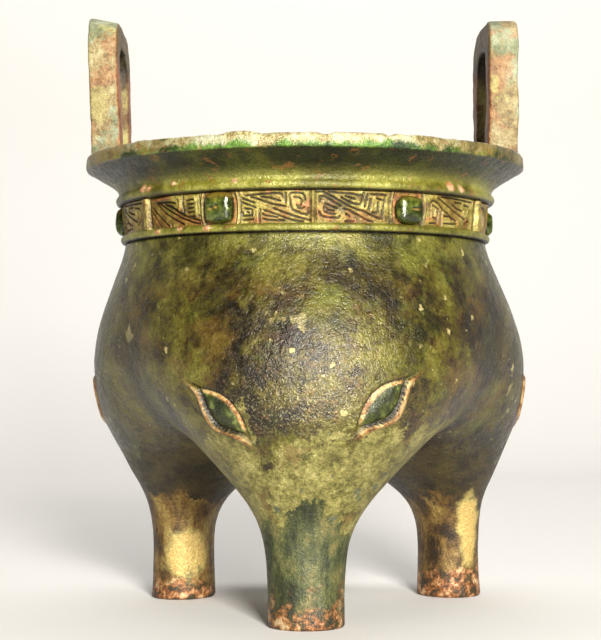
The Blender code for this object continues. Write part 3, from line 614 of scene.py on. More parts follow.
def eyeRelief(p, q):
    # height over the skin, the marks for the patina and the painted shade marks, at chart places p, q
    lid, foot, lipFoot = lidCurve(p), lensCurve(p), lipCurve(p)
    foot = np.minimum(foot, lid - 0.15)
    inner, outer = eyeShape["tips"]
    tailIn, tailOut = eyeShape["tails"]
    tail = softStep(p, tailIn, tailIn + 5) * softStep(p, tailOut, tailOut - 5)
    between = softStep(p, inner - 1.0, inner + 1.5) * softStep(p, outer + 1.0, outer - 1.5)
    sunk = eyeShape["sunk"] * (0.35 + 0.65 * between) * tail
    below = softStep(q, lid + 0.10, lid - 0.35)  # 1 under the upper lid's edge
    above = softStep(q, foot - 0.15, foot + 0.15)
    tall = np.maximum(lid - foot, 0.3)
    share = np.clip((q - foot) / tall, 0, 1)
    dome = np.sin(np.pi * np.clip(share * 1.04 - 0.02, 0, 1)) ** 0.60 * between
    lens = -sunk + eyeShape["lensRise"] * dome * (1 - 0.35 * np.abs(p / 11) ** 2)
    span = np.maximum(foot - lipFoot, 0.6)
    down = np.clip((foot - q) / span, 0, 1.2)
    ridge = softStep(down, 0.06, 0.24) * softStep(down, 1.02, 0.52)
    gutter = -sunk * softStep(down, 0.24, 0.04)
    low = np.where(down < 1.15, eyeShape["lipRise"] * ridge * tail + gutter, 0)
    height = below * (above * lens + (1 - above) * low)

    fromLid, fromFoot = lid - q, q - foot
    rim = between * below * above * softStep(fromLid, 0.45, 0.75) * softStep(fromLid, 2.3, 1.5)
    rim *= softStep(fromFoot, 0.8, 1.6)
    lensMark = below * above * between * softStep(fromFoot, 0.1, 0.6) * softStep(fromLid, 0.3, 0.8)
    lipMark = below * (1 - above) * softStep(down, 0.16, 0.30) * softStep(down, 1.02, 0.85) * tail
    # painted shade: dark along the upper lid's step, at the lens foot and along the lid line past the
    # corners
    dark = between * np.maximum(softStep(fromLid, -0.30, -0.05) * softStep(fromLid, 0.65, 0.40),
                                softStep(np.abs(fromFoot + 0.20), 0.62, 0.30))
    corner = 0.8 * tail * (1 - between) * softStep(np.abs(fromLid - 0.1), 0.55, 0.25)
    return height, lensMark, np.clip(lipMark + rim, 0, 1), np.clip(dark + corner, 0, 1)


def makeBody():
    eyes = [eyePlace(*place) for place in eyeShape["places"]]
    eyeWays = np.array([math.degrees(math.atan2(e["origin"][1], e["origin"][0])) for e in eyes])

    def columnStep(ways):
        gaps = np.abs((ways[:, None] - eyeWays[None] + 180) % 360 - 180).min(axis=1)
        close, wide = bodyShape["closeStep"], bodyShape["wideStep"]
        return close + (wide - close) * softStep(gaps, 11.5, 17)

    ways = [math.degrees(float(lobePlace(outside, lobe, 75)[0])) for lobe in range(3)]
    clefts = [(ways[0] + ways[1]) / 2, (ways[1] + ways[2]) / 2, (ways[2] + ways[0] + 360) / 2]
    starts = [clefts[2] - 360, clefts[0], clefts[1]]
    parts = [spacedOut(a, b, columnStep) for a, b in zip(starts, clefts)]
    firsts = np.cumsum([0] + [len(part) for part in parts])
    total = firsts[-1]
    angles = np.radians(np.concatenate(parts))

    # rings of the upper body, closer together where the eyes are
    top = bodyShape["top"]
    drops = spacedOut(4, top - bodyShape["lowestRing"], lambda d: 1.5 - 1.06 * softStep(top - d, 94, 90))
    drops = [0, *bodyShape["seamRows"], 3.2, *drops, top - bodyShape["lowestRing"]]
    points, faces = [], []
    upper = None
    for drop in drops:
        points.append(ringAt(outside, angles, top - drop))
        row = np.arange(total) + total * (len(points) - 1)
        if upper is not None:
            faces += bandFaces(upper, row)
        upper = row
    points = np.concatenate(points)

    # seams from the crotch up each cleft
    hub = np.array([[0.0, 0.0, 75.0]])
    crotch = castOut(outside, hub, np.array([[0.0, 0.0, -1.0]]), 50)
    seams = []
    for lobe in range(3):
        way = angles[firsts[lobe]]
        edge = points[upper[firsts[lobe]]]
        widest = math.atan2(math.hypot(edge[0], edge[1]), 75 - edge[2])
        swings = np.arcsin(np.sin(widest) * np.linspace(0, 1, 32)[1:-1])
        directions = np.column_stack([np.sin(swings) * math.cos(way), np.sin(swings) * math.sin(way),
                                      -np.cos(swings)])
        seams.append(castOut(outside, np.repeat(hub, len(swings), axis=0), directions, 120))
    offsets = np.cumsum([0, len(points), 1] + [len(seam) for seam in seams])
    seamRows = [list(range(offsets[i + 2], offsets[i + 3])) for i in range(3)]
    points = np.concatenate([points, crotch] + seams)
    flat = np.zeros(len(points), bool)

    # each lobe's underside, leg and flat foot
    legTop = bodyShape["legTop"]
    for lobe in range(3):
        count = firsts[lobe + 1] - firsts[lobe]
        arc = [int(upper[(firsts[lobe] + i) % total]) for i in range(count + 1)]
        petal = [int(offsets[1])] + seamRows[lobe] + arc + seamRows[(lobe + 1) % 3][::-1]
        size = len(petal)
        petalPoints = points[petal]
        way, offset = lobePlace(outside, lobe, 50.0)
        along = petalPoints[:, 0] * np.cos(way) + petalPoints[:, 1] * np.sin(way) - offset
        across = -petalPoints[:, 0] * np.sin(way) + petalPoints[:, 1] * np.cos(way)
        turns = np.unwrap(np.arctan2(across, along))
        turns += -np.pi - turns[0]
        turns = 0.7 * turns + 0.3 * (-np.pi + 2 * np.pi * np.arange(size) / size)
        loop = legLoop(lobe, turns, legTop)
        rows = []
        for share in np.linspace(0, 1, 30)[1:] ** 1.25:
            guess = petalPoints * (1 - share) + loop * share
            rows.append(settleOnSkin(outside, guess) if share < 1 else loop)
        rows += [legLoop(lobe, turns, height) for height in np.linspace(legTop, 1.2, 21)[1:]]
        standing = len(rows)
        foot = legLoop(lobe, turns, 0.0)
        centre = foot.mean(axis=0)
        for height, share in ((0.6, 0.988), (0.15, 0.955), (0, 0.90), (0, 0.6), (0, 0.3), (0, 0.05)):
            rows.append(centre + (foot - centre) * share + [0, 0, height])
        row = np.array(petal)
        for ring in rows:
            below = np.arange(size) + len(points)
            points = np.concatenate([points, ring])
            faces += bandFaces(row, below)
            row = below
        faces.append(row[::-1].tolist())
        flat = np.concatenate([flat, np.zeros(standing * size, bool),
                               np.ones((len(rows) - standing) * size, bool)])

    slope = skinSlope(outside, points)
    normals = slope / np.maximum(np.linalg.norm(slope, axis=1), 0.1)[:, None]
    spans, _ = lobeSpans(outside, points)
    nearest = spans.argmin(axis=0)
    ordered = np.sort(spans, axis=0)
    apart = ordered[1] - ordered[0]
    x, y, z = points.T

    lift = np.zeros(len(points))
    marks = {mark: np.zeros(len(points)) for mark in ("lens", "lip", "groove")}
    for eye in eyes:
        away = points - eye["origin"]
        near = np.linalg.norm(away, axis=1) < 24
        p, q = away[near] @ eye["long"], away[near] @ eye["short"]
        inFront = (normals[near] @ eye["normal"]) > 0.2
        height, lens, lip, groove = eyeRelief(p, q)
        lift[near] += height * inFront
        for mark, values in (("lens", lens), ("lip", lip), ("groove", groove)):
            marks[mark][near] = np.maximum(marks[mark][near], values * inFront)
    # painted shade: the cleft mark darkens the clefts between the lobes
    marks["cleft"] = softStep(apart, 10, 0.5) * softStep(z, 114, 90)
    marks["bulge"] = softStep(apart, 28, 60)
    # painted shade: a dark line where the lower bead meets the body
    seam = softStep(np.abs(z - (top - 1.6)), 0.75, 0.2)
    lift -= 0.45 * seam
    marks["groove"] = np.maximum(marks["groove"], seam)

    # how far each point is inside the crust and the leg's own zone
    crustPlaces = np.array(bodyShape["crustTop"], float)
    frontLobe = nearest == 0
    crustTop = np.where(frontLobe, np.interp(x, crustPlaces[:, 0], crustPlaces[:, 1]), 58)
    crustFoot = np.where(frontLobe, bodyShape["crustFoot"] - bodyShape["crustFall"] * np.abs(x), 38)
    marks["crust"] = np.clip(crustTop - z, -30, 30)
    marks["leg"] = np.clip(crustFoot - z, -30, 30)

    quiet = 1 - 0.7 * np.maximum(marks["lens"], marks["lip"])
    lift += quiet * (roughness(points, 11.0, bodyShape["unevenness"]) + roughness(points, 2.6, 0.05, 7.3))
    points = points + normals * np.where(flat, 0, lift)[:, None]
    return pieceFrom("body", points, faces, bronzeBody, marks)


makeBody()


friezeShape = {
    "top": 149.4,
    "bottom": 137.6,
    "topRadius": 68.8,
    "bottomRadius": 67.7,
    "columns": 1300,
    "rows": 54,
    "start": -55.0,  # a thick bar; degrees from the front towards the right
    "bossPlaces": (29.6, 86.6),  # degrees from the bar
    "divide": 57.2,
    "cutWidth": 0.80,
    "cutDepth": 0.80,
}
# the fret's cuts in each panel: from, to (degrees from the bar), then lines in shares across and up
fretPanels = (
    (1.7, 23.5, (
        ((0.16, 0.78), (0.32, 0.49), (0.49, 0.29), (0.68, 0.10)),
        ((0.22, 0.78), (0.42, 0.54), (0.64, 0.30), (0.85, 0.14), (1.0, 0.08)),
        ((0.32, 0.75), (0.49, 0.60), (0.68, 0.37), (0.96, 0.18)),
        ((0.42, 0.70), (0.58, 0.52), (0.70, 0.38)),
        ((0.13, 0.79), (0.30, 0.80), (0.44, 0.79), (0.54, 0.74)),
        ((0.03, 0.72), (0.20, 0.40), (0.34, 0.16), (0.40, 0.06)),
        ((0.69, 0.92), (0.67, 0.66), (0.70, 0.46)),
        ((0.73, 0.80), (0.86, 0.82)),
        ((0.74, 0.68), (0.86, 0.70)),
        ((0.75, 0.56), (0.86, 0.58)),
        ((0.75, 0.45), (0.87, 0.46)),
        ((0.77, 0.33), (0.95, 0.33)),
        ((0.97, 0.90), (0.98, 0.36)),
        ((0.04, 0.52), (0.14, 0.28), (0.22, 0.08)),
        ((0.44, 0.14), (0.45, 0.04)),
    )),
    (34.1, 57.1, (
        ((0.15, 0.85), (0.42, 0.89), (0.58, 0.905), (0.62, 0.86), (0.63, 0.79)),
        ((0.35, 0.81), (0.47, 0.77), (0.53, 0.72), (0.60, 0.68)),
        ((0.02, 0.88), (0.08, 0.81), (0.16, 0.73), (0.27, 0.64)),
        ((0.22, 0.81), (0.31, 0.75), (0.40, 0.67), (0.47, 0.61), (0.56, 0.56), (0.66, 0.52)),
        ((0.10, 0.66), (0.18, 0.59), (0.28, 0.50)),
        ((0.39, 0.42), (0.47, 0.35), (0.57, 0.27), (0.68, 0.17), (0.79, 0.10), (0.88, 0.08)),
        ((0.51, 0.47), (0.58, 0.40), (0.68, 0.31), (0.78, 0.23), (0.87, 0.17), (0.98, 0.11)),
        ((0.14, 0.48), (0.235, 0.45), (0.235, 0.28), (0.115, 0.26), (0.113, 0.36)),
        ((0.17, 0.38), (0.195, 0.36)),
        ((0.08, 0.52), (0.06, 0.30), (0.10, 0.15), (0.25, 0.16)),
        ((0.34, 0.44), (0.33, 0.30), (0.325, 0.03)),
        ((0.37, 0.32), (0.40, 0.27), (0.47, 0.24), (0.56, 0.21)),
        ((0.38, 0.175), (0.43, 0.14), (0.53, 0.12), (0.64, 0.12)),
        ((0.715, 0.84), (0.73, 0.895), (0.81, 0.905), (0.88, 0.88), (0.90, 0.80), (0.905, 0.70)),
        ((0.765, 0.78), (0.84, 0.765), (0.867, 0.70), (0.862, 0.58), (0.85, 0.53)),
        ((0.805, 0.56), (0.825, 0.465), (0.87, 0.455), (0.895, 0.49)),
        ((0.72, 0.78), (0.725, 0.56), (0.75, 0.42), (0.81, 0.36), (0.87, 0.30), (0.93, 0.275),
         (0.95, 0.32), (0.95, 0.46)),
        ((0.665, 0.90), (0.665, 0.62)),
    )),
    (58.1, 78.3, (
        ((0.0, 0.93), (0.095, 0.94), (0.185, 0.84), (0.285, 0.735), (0.385, 0.63), (0.475, 0.53),
         (0.585, 0.44), (0.69, 0.40), (0.765, 0.32), (0.845, 0.25), (0.92, 0.20), (0.99, 0.185)),
        ((0.055, 0.64), (0.055, 0.79), (0.105, 0.81), (0.173, 0.745), (0.24, 0.66), (0.35, 0.53)),
        ((0.295, 0.46), (0.24, 0.50), (0.135, 0.585), (0.12, 0.50), (0.125, 0.36), (0.19, 0.31),
         (0.275, 0.30)),
        ((0.15, 0.47), (0.17, 0.40), (0.25, 0.39)),
        ((0.045, 0.36), (0.067, 0.255), (0.13, 0.21), (0.21, 0.19), (0.32, 0.18), (0.345, 0.24)),
        ((0.40, 0.45), (0.475, 0.415), (0.54, 0.34), (0.63, 0.255), (0.71, 0.17), (0.79, 0.105),
         (0.845, 0.095)),
        ((0.43, 0.30), (0.485, 0.235)),
        ((0.43, 0.085), (0.54, 0.095)),
        ((0.18, 0.94), (0.285, 0.915), (0.385, 0.895), (0.52, 0.885), (0.61, 0.85), (0.655, 0.84)),
        ((0.42, 0.82), (0.50, 0.765), (0.565, 0.735)),
        ((0.363, 0.775), (0.43, 0.69), (0.50, 0.625), (0.587, 0.585), (0.637, 0.585), (0.655, 0.66),
         (0.68, 0.81), (0.69, 0.92)),
        ((0.75, 0.88), (0.73, 0.72), (0.71, 0.53)),
        ((0.80, 0.88), (0.945, 0.885), (1.04, 0.86)),
        ((0.80, 0.74), (0.77, 0.45)),
        ((0.89, 0.77), (0.98, 0.72)),
        ((0.92, 0.66), (0.91, 0.40), (0.88, 0.345), (0.83, 0.36)),
        ((1.01, 0.77), (1.0, 0.58), (0.985, 0.39), (0.975, 0.24)),
    )),
    (93.9, 118.2, (
        ((0.04, 0.31), (0.04, 0.71), (0.085, 0.805), (0.165, 0.74), (0.245, 0.59), (0.35, 0.46),
         (0.455, 0.33), (0.555, 0.25)),
        ((0.075, 0.66), (0.145, 0.60), (0.185, 0.54), (0.175, 0.34), (0.165, 0.14), (0.04, 0.12)),
        ((0.11, 0.53), (0.10, 0.30), (0.145, 0.28)),
        ((0.02, 0.03), (0.20, 0.03)),
        ((0.24, 0.50), (0.24, 0.06)),
        ((0.165, 0.89), (0.245, 0.80), (0.36, 0.67), (0.48, 0.545), (0.62, 0.43), (0.76, 0.33)),
        ((0.22, 0.93), (0.44, 0.92), (0.66, 0.90), (0.92, 0.88)),
        ((0.48, 0.81), (0.65, 0.81)),
        ((0.44, 0.73), (0.52, 0.64), (0.68, 0.58)),
        ((0.29, 0.38), (0.40, 0.37), (0.46, 0.24)),
        ((0.29, 0.15), (0.56, 0.17)),
        ((0.70, 0.76), (0.84, 0.74), (0.88, 0.60), (0.86, 0.36), (0.74, 0.18)),
        ((0.78, 0.62), (0.79, 0.44)),
        ((0.97, 0.88), (0.96, 0.12)),
    )),
)
# bars that stand above the fret: from, to, the line, half its width and how far it stands out
fretBars = (
    (1.7, 23.5, ((0.05, 0.87), (0.30, 0.91), (0.56, 0.95), (0.63, 0.86), (0.62, 0.52)), 0.42, 0.42),
    (1.7, 23.5, ((0.90, 0.82), (0.91, 0.34)), 0.40, 0.38),
)


def nearestLine(along, up, start, end, line):
    # distance to a line given in shares of a panel, within one third of the frieze
    arc = math.radians(1) * 68.3
    tall = friezeShape["top"] - friezeShape["bottom"]
    nearest = np.full(along.shape, 9.0)
    spots = [((start + (end - start) * u) * arc, tall * v) for u, v in line]
    for (ax, ay), (bx, by) in zip(spots, spots[1:]):
        dx, dy = bx - ax, by - ay
        share = np.clip(((along - ax) * dx + (up - ay) * dy) / (dx * dx + dy * dy), 0, 1)
        nearest = np.minimum(nearest, np.hypot(along - ax - dx * share, up - ay - dy * share))
    return nearest


def makeFrieze():
    columns, rows = friezeShape["columns"], friezeShape["rows"]
    angles = friezeShape["start"] + 360 * np.arange(columns) / columns
    heights = np.linspace(friezeShape["top"] + 0.6, friezeShape["bottom"] - 0.7, rows)
    angle, z = np.meshgrid(angles, heights)
    tall = friezeShape["top"] - friezeShape["bottom"]
    share = (z - friezeShape["bottom"]) / tall
    radius = friezeShape["bottomRadius"] + (friezeShape["topRadius"] - friezeShape["bottomRadius"]) * share
    arc = math.radians(1) * 68.3
    within = (angle - friezeShape["start"]) % 120
    along, up = within * arc, z - friezeShape["bottom"]
    wander = roughness(turned(angle.ravel(), radius.ravel(), z.ravel()), 2.2, 0.16).reshape(angle.shape)

    away = np.full(angle.shape, 9.0)
    for start, end, lines in fretPanels:
        for line in lines:
            away = np.minimum(away, nearestLine(along, up, start, end, line))
    half = friezeShape["cutWidth"] / 2 * (1 + wander)
    cut = np.clip(1.25 - 1.25 * (away / half) ** 2, 0, 1)
    height = -friezeShape["cutDepth"] * (1 + 0.8 * wander) * cut
    height -= 0.16 * np.clip((away - 0.8) / 1.0, 0, 1)
    dirt = 0.20 + 0.70 * softStep(away, 1.2, 0.3) * softStep(up, 9.5, 0.5)
    for start, end, line, halfWide, stand in fretBars:
        bar = softStep(nearestLine(along, up, start, end, line), halfWide + 0.25, halfWide - 0.15)
        height = height * (1 - bar) + stand * bar
        cut = cut * (1 - bar)
        dirt = np.maximum(dirt, 0.9 * bar)

    # thick bars, the thin divide, and the sunk place round each boss with its upright borders
    bar = np.minimum(within, 120 - within) * arc
    height = np.where(bar < 3.0, 0, height)
    cut = np.where(bar < 3.0, 0.9 * softStep(np.abs(bar - 2.2), 0.8, 0.2), cut)
    height += 1.5 * softStep(bar, 1.6, 0.9) - 0.4 * softStep(np.abs(bar - 2.2), 0.8, 0.2)
    thin = np.abs(within - friezeShape["divide"]) * arc
    height = np.where(thin < 0.8, 0, height)
    height += 0.45 * softStep(thin, 0.50, 0.2) - 0.55 * softStep(np.abs(thin - 0.85), 0.45, 0.1)
    cut = np.maximum(cut, 0.9 * softStep(np.abs(thin - 0.85), 0.40, 0.1))
    for boss in friezeShape["bossPlaces"]:
        across = np.abs(within - boss) * arc
        fromMiddle = up - tall / 2
        square = ((across / 6.4) ** 4 + (np.abs(fromMiddle) / 6.4) ** 4) ** 0.25
        near = across < 8.1
        border = 7.2 - 0.9 * (fromMiddle / 6) ** 2
        height = np.where(near, 0, height)
        cut = np.where(near, 0, cut)
        height += -0.65 * softStep(square, 1.05, 0.92) * near
        height += near * 0.40 * softStep(np.abs(across - border), 0.45, 0.15)
        lines = softStep(np.abs(across - border - 0.70), 0.40, 0.12)
        lines += softStep(np.abs(across - border + 0.75), 0.40, 0.12)
        height -= 0.45 * lines * near
        cut = np.maximum(cut, np.clip(0.9 * lines, 0, 1) * near)
        dirt = np.maximum(dirt, softStep(square, 1.12, 0.95))
    height += 0.5 * wander
    # painted shadow: the groove mark runs dark along the frieze's top, under the upper bead, and along its
    # bottom
    edge = softStep(up, tall + 0.05, tall - 0.55) * softStep(up, -0.1, 0.3)
    height = height * edge - 0.8 * (1 - edge)
    cut = np.maximum(cut, np.clip(1.3 * (1 - edge), 0, 1))

    points = turned(angle.ravel(), (radius + height).ravel(), z.ravel())
    grid = np.arange(rows * columns).reshape(rows, columns)
    faces = []
    for upper, lower in zip(grid, grid[1:]):
        faces += bandFaces(upper, lower)
    return pieceFrom("frieze", points, faces, bronzeFrieze, {"groove": cut, "dirt": dirt})


makeFrieze()


bossShape = {
    "rise": 4.3,
    "base": -0.9,
    "grid": 48,
    # for each kind: half width, half height, height of its middle, roundness, then its pits
    # (across, up, half width, half height of each)
    "kinds": (
        (5.75, 5.85, 143.95, 0.30, ((-0.36, 0.02, 0.12, 0.075), (0.02, 0.12, 0.10, 0.08))),
        (5.9, 5.35, 143.2, 0.52, ((0.16, 0.10, 0.24, 0.055),)),
        (5.7, 5.5, 143.5, 0.40, ((-0.15, 0.05, 0.18, 0.06),)),
    ),
}


def makeBoss(name, angle, kind):
    halfWide, halfTall, middle, round_, pits = bossShape["kinds"][kind]
    count = bossShape["grid"]
    line = np.sin(np.linspace(-1, 1, count) * math.pi / 2)
    a, b = np.meshgrid(line, line[::-1])
    # a square sheet drawn in to a rounded square
    pull = np.sqrt(np.clip(1 - round_ * (a * b) ** 2, 0, 1))
    edge = np.maximum(np.abs(a), np.abs(b))
    dome = np.clip(1 - edge**4, 0, 1) ** 0.5 * (1 - 0.11 * (a**2 + b**2))
    high = bossShape["base"] + bossShape["rise"] * dome
    groove, light = np.zeros(a.shape), np.zeros(a.shape)
    for pitA, pitB, wide, tall in pits:
        pit = np.exp(-((a - pitA) / wide) ** 2 - ((b - pitB) / tall) ** 2)
        high -= 0.75 * pit
        groove = np.maximum(groove, np.clip(pit * 1.6 - 0.3, 0, 1))
        light = np.maximum(light, np.exp(-((a - pitA) / wide) ** 2 - ((b - pitB + 1.9 * tall) / tall) ** 2))
    # painted shadow: dark round the boss's foot
    groove = np.maximum(groove, softStep(edge, 0.93, 0.985))
    swell = 0.93 + 0.07 * dome
    along = a * halfWide * pull * swell
    up = b * halfTall * pull * swell + middle
    sheet = np.column_stack([along.ravel(), up.ravel(), high.ravel()])
    high += roughness(sheet, 3.4, 0.16, angle).reshape(a.shape)
    turn = angle + np.degrees(along / 68.3)
    points = turned(turn.ravel(), (68.25 + high).ravel(), up.ravel())
    grid = np.arange(count * count).reshape(count, count)
    faces = []
    for upper, lower in zip(grid, grid[1:]):
        faces += bandFaces(upper, lower, closed=False)
    marks = {"groove": groove, "lump": 0.7 * light * (1 - groove)}
    return pieceFrom(name, points, faces, bronzeBoss, marks)


for third in range(3):
    for spot, fromBar in enumerate(friezeShape["bossPlaces"]):
        kind = spot if third == 0 else (third + spot) % 3
        makeBoss(f"boss{third}{spot}", friezeShape["start"] + 120 * third + fromBar, kind)
print("frieze and bosses set")


neckShape = {
    "columns": 480,
    "step": 0.62,
    # radius, height: from behind the frieze's top up the neck, over the rim and down inside
    "profile": (
        (67.2, 149.1), (69.9, 149.35), (70.9, 149.9), (71.3, 150.9), (71.1, 151.9), (70.4, 152.6),
        (70.1, 153.3), (70.3, 154.4), (71.6, 156.0), (74.0, 157.8), (77.2, 159.6), (79.8, 161.2),
        (81.2, 162.0), (81.9, 162.3), (82.2, 162.6), (82.25, 163.2), (82.2, 164.8), (82.1, 166.4),
        (81.8, 167.0), (81.0, 167.2), (79.9, 167.0), (79.1, 166.6), (77.0, 164.8), (74.0, 162.2),
        (70.5, 159.4), (67.0, 155.6), (64.9, 152.0), (63.8, 148.6), (63.4, 144.0), (63.4, 136.0),
        (64.4, 134.9),
    ),
    "beadProfile": (
        (67.0, 138.3), (68.4, 138.0), (69.2, 137.5), (69.5, 136.8), (69.4, 136.0), (68.9, 135.4),
        (68.0, 135.15), (66.6, 135.1),
    ),
    # the rim's edge: angle, half width (degrees), how much it rises or is chipped
    "edgeForms": ((-16.0, 3.8, 0.9), (5.0, 1.4, -0.55), (20.4, 0.9, -0.6), (36, 2.2, -0.35),
                  (-44, 2.0, 0.4), (78, 1.5, -0.7), (131, 2.4, -0.6), (-120, 1.8, -0.8),
                  (-160, 3.5, 0.5), (170, 1.2, -0.5)),
    # crusty lumps on the beads: angle, height, half width in millimetres, how far they stand out
    "lumps": ((-54, 152.6, 1.9, 1.1), (-51.2, 152.2, 1.5, 0.8), (-40.5, 153.0, 1.2, 0.9),
              (46, 152.2, 2.2, 0.35), (51, 151.8, 1.8, 0.4), (-48.5, 136.9, 1.5, 0.7),
              (-29, 137.0, 1.6, 0.45), (-39.0, 137.6, 1.4, 0.5), (-20, 152.5, 1.0, 0.3),
              (112, 152.4, 2.0, 0.7), (-133, 136.9, 1.8, 0.6), (170, 152.6, 1.7, 0.8)),
}


def addLumps(angle, radius, z):
    lump = np.zeros(angle.shape)
    for way, height, half, stand in neckShape["lumps"]:
        across = ((angle - way + 180) % 360 - 180) * math.radians(1) * 71
        away = np.hypot(across, (z - height) * 1.3) / half
        radius = radius + stand * softStep(away, 1.25, 0.35) * (radius > 67.5) * (z < 156)
        lump = np.maximum(lump, softStep(away, 1.2, 0.7) * (radius > 67.5))
    return radius, lump


def turnedPiece(name, profile, step, shaped, seed=0.0):
    columns = neckShape["columns"]
    profile = np.array(profile, float)
    lengths = np.concatenate([[0], np.cumsum(np.hypot(*np.diff(profile, axis=0).T))])
    at = np.linspace(0, lengths[-1], int(lengths[-1] / step) + 1)
    radius, z = np.interp(at, lengths, profile[:, 0]), np.interp(at, lengths, profile[:, 1])
    angle, radius = np.meshgrid(360 * np.arange(columns) / columns, radius)
    z = np.repeat(z[:, None], columns, axis=1)
    points = turned(angle.ravel(), radius.ravel(), z.ravel())
    out = roughness(points, 9.0, 0.18, seed) + roughness(points, 2.2, 0.07, seed + 4)
    radius, z, marks = shaped(angle, radius + out.reshape(radius.shape), z)
    points = turned(angle.ravel(), radius.ravel(), z.ravel())
    grid = np.arange(points.shape[0]).reshape(-1, columns)
    faces = []
    for upper, lower in zip(grid, grid[1:]):
        faces += bandFaces(lower, upper)
    return pieceFrom(name, points, faces, bronzeNeck, marks)


def shapeNeck(angle, radius, z):
    top = softStep(z, 163.5, 166.6)
    lift = np.zeros(angle.shape)
    for middle, half, rise in neckShape["edgeForms"]:
        gap = np.abs((angle - middle + 180) % 360 - 180)
        lift += rise * softStep(gap, half * 1.4, half * 0.5)
    edge = turned(angle[0], np.full(angle.shape[1], 82.0), 167.0)
    lift += roughness(edge, 6.0, 0.30, 2.0) + roughness(edge, 1.7, 0.14, 5.0)
    past = np.cumsum(np.hypot(np.diff(radius, axis=0, prepend=0), np.diff(z, axis=0, prepend=0)), axis=0)
    crest = past[z.mean(axis=1).argmax()]
    mouth = softStep(past - crest, 0.9, 2.2)  # 0 outside, 1 on the slope that looks into the mouth
    z = z + top * lift
    radius = radius + np.minimum(top * lift, 0) * 0.7 * (radius > 80.5)
    radius, lump = addLumps(angle, radius, z)
    # painted shadow: dark joint under the upper bead
    joint = softStep(z, 150.1, 149.6) * (1 - mouth)
    return radius, z, {"mouth": mouth, "lump": lump * (1 - mouth), "groove": joint}


def shapeBead(angle, radius, z):
    radius, lump = addLumps(angle, radius, z)
    # painted shade: dark along the lower bead's underside, where it meets the body
    return radius, z, {"mouth": 0 * z, "lump": lump, "groove": softStep(z, 135.75, 135.35)}


turnedPiece("neckAndRim", neckShape["profile"], neckShape["step"], shapeNeck)
turnedPiece("lowerBead", neckShape["beadProfile"], 0.40, shapeBead, seed=9.0)
print("neck and rim turned")


handleShape = {
    "fromAxis": 72.8,
    "thick": 11.0,
    "wide": 42.0,
    "foot": 160.1,
    "footSlope": 0.78,
    "post": 10.0,
    "corner": 9.0,
    "openingDrop": 10.2,  # from the top to the opening's top
    "edge": 10.0,  # how square the section is
    # for each handle: side, top, lean (degrees), slope of the top, turn (degrees), seed of its wear
    "left": (-1, 219.4, 1.8, 0.20, 0.0, 3.7),
    "right": (1, 217.9, 0.9, 0.03, 2.6, 8.9),
}


def handleLine(half, top, corner):
    # up one post, over the top and down the other, always with the same number of places
    foot = handleShape["foot"]
    rise = np.linspace(0, 1, 46, endpoint=False)
    over = np.linspace(-1, 1, 18, endpoint=False)[1:]
    turn = np.radians(np.linspace(0, 90, 15))
    left = [(-half, foot + (top - corner - foot) * r) for r in rise]
    left += [(-half + corner - corner * math.cos(t), top - corner + corner * math.sin(t)) for t in turn]
    middle = [((half - corner) * o, top) for o in over]
    right = [(-a, b) for a, b in left[::-1]]
    return np.array(left + middle + right)


def makeHandle(name, kind, warm):
    side, top, leanAngle, topSlope, turnAngle, seed = handleShape[kind]
    half = handleShape["wide"] / 2
    inner = half - handleShape["post"]
    thick = handleShape["thick"]
    outerLine = handleLine(half, top, handleShape["corner"])
    innerLine = handleLine(inner, top - handleShape["openingDrop"], inner * 0.75)
    turns = np.linspace(0, 2 * np.pi, 56, endpoint=False)
    power = 2 / handleShape["edge"]
    across = np.sign(np.cos(turns)) * np.abs(np.cos(turns)) ** power
    through = np.sign(np.sin(turns)) * np.abs(np.sin(turns)) ** power
    middle, reach = (outerLine + innerLine) / 2, (outerLine - innerLine) / 2
    y = middle[:, :1] + reach[:, :1] * across[None]
    z = middle[:, 1:] + reach[:, 1:] * across[None]
    outwards = np.repeat(through[None] * thick / 2, len(y), axis=0)
    innerSide = np.repeat(softStep(-through, 0.80, 0.98)[None], len(y), axis=0)
    opening = np.repeat(softStep(-across, 0.80, 0.98)[None], len(y), axis=0)
    z = z + topSlope * (outwards - thick / 2) * softStep(z, top - 11, top - 8)
    z = z + handleShape["footSlope"] * outwards * softStep(z, 176, 162)
    points = np.column_stack([outwards.ravel(), y.ravel(), z.ravel()])
    swing, sway, dents, wear = [roughness(points, size, amount, seed + k * 3.1) for k, (size, amount) in
                                enumerate(((16.0, 0.6), (16.0, 0.5), (5.0, 0.26), (1.8, 0.12)))]
    centre = np.column_stack([0 * points[:, 0], np.repeat(middle[:, 0], len(turns)),
                              np.repeat(middle[:, 1], len(turns))])
    way = points - centre
    way /= np.linalg.norm(way, axis=1)[:, None]
    points = points + way * (dents + wear)[:, None]
    free = softStep(points[:, 2], 165, 185)
    points[:, 0] += swing * free
    points[:, 1] += sway * free
    # turned about its front edge so that its back stands nearer the axis, then leaned outwards
    points[:, 0] -= (points[:, 1] + half) * math.tan(math.radians(turnAngle))
    lean = math.tan(math.radians(leanAngle)) * (points[:, 2] - handleShape["foot"])
    points[:, 0] = side * (points[:, 0] + handleShape["fromAxis"] + lean)
    grid = np.arange(len(points)).reshape(-1, len(turns))
    faces = []
    for upper, lower in zip(grid, grid[1:]):
        faces += bandFaces(upper, lower) if side > 0 else bandFaces(lower, upper)
    first, last = grid[0].tolist(), grid[-1].tolist()
    faces += [first, last[::-1]] if side > 0 else [first[::-1], last]
    marks = {"innerSide": innerSide, "opening": opening}
    return pieceFrom(name, points, faces, handlePatina(name + "Patina", warm), marks)


makeHandle("handleLeft", "left", 0.0)
makeHandle("handleRight", "right", 1.0)
print("handles raised")


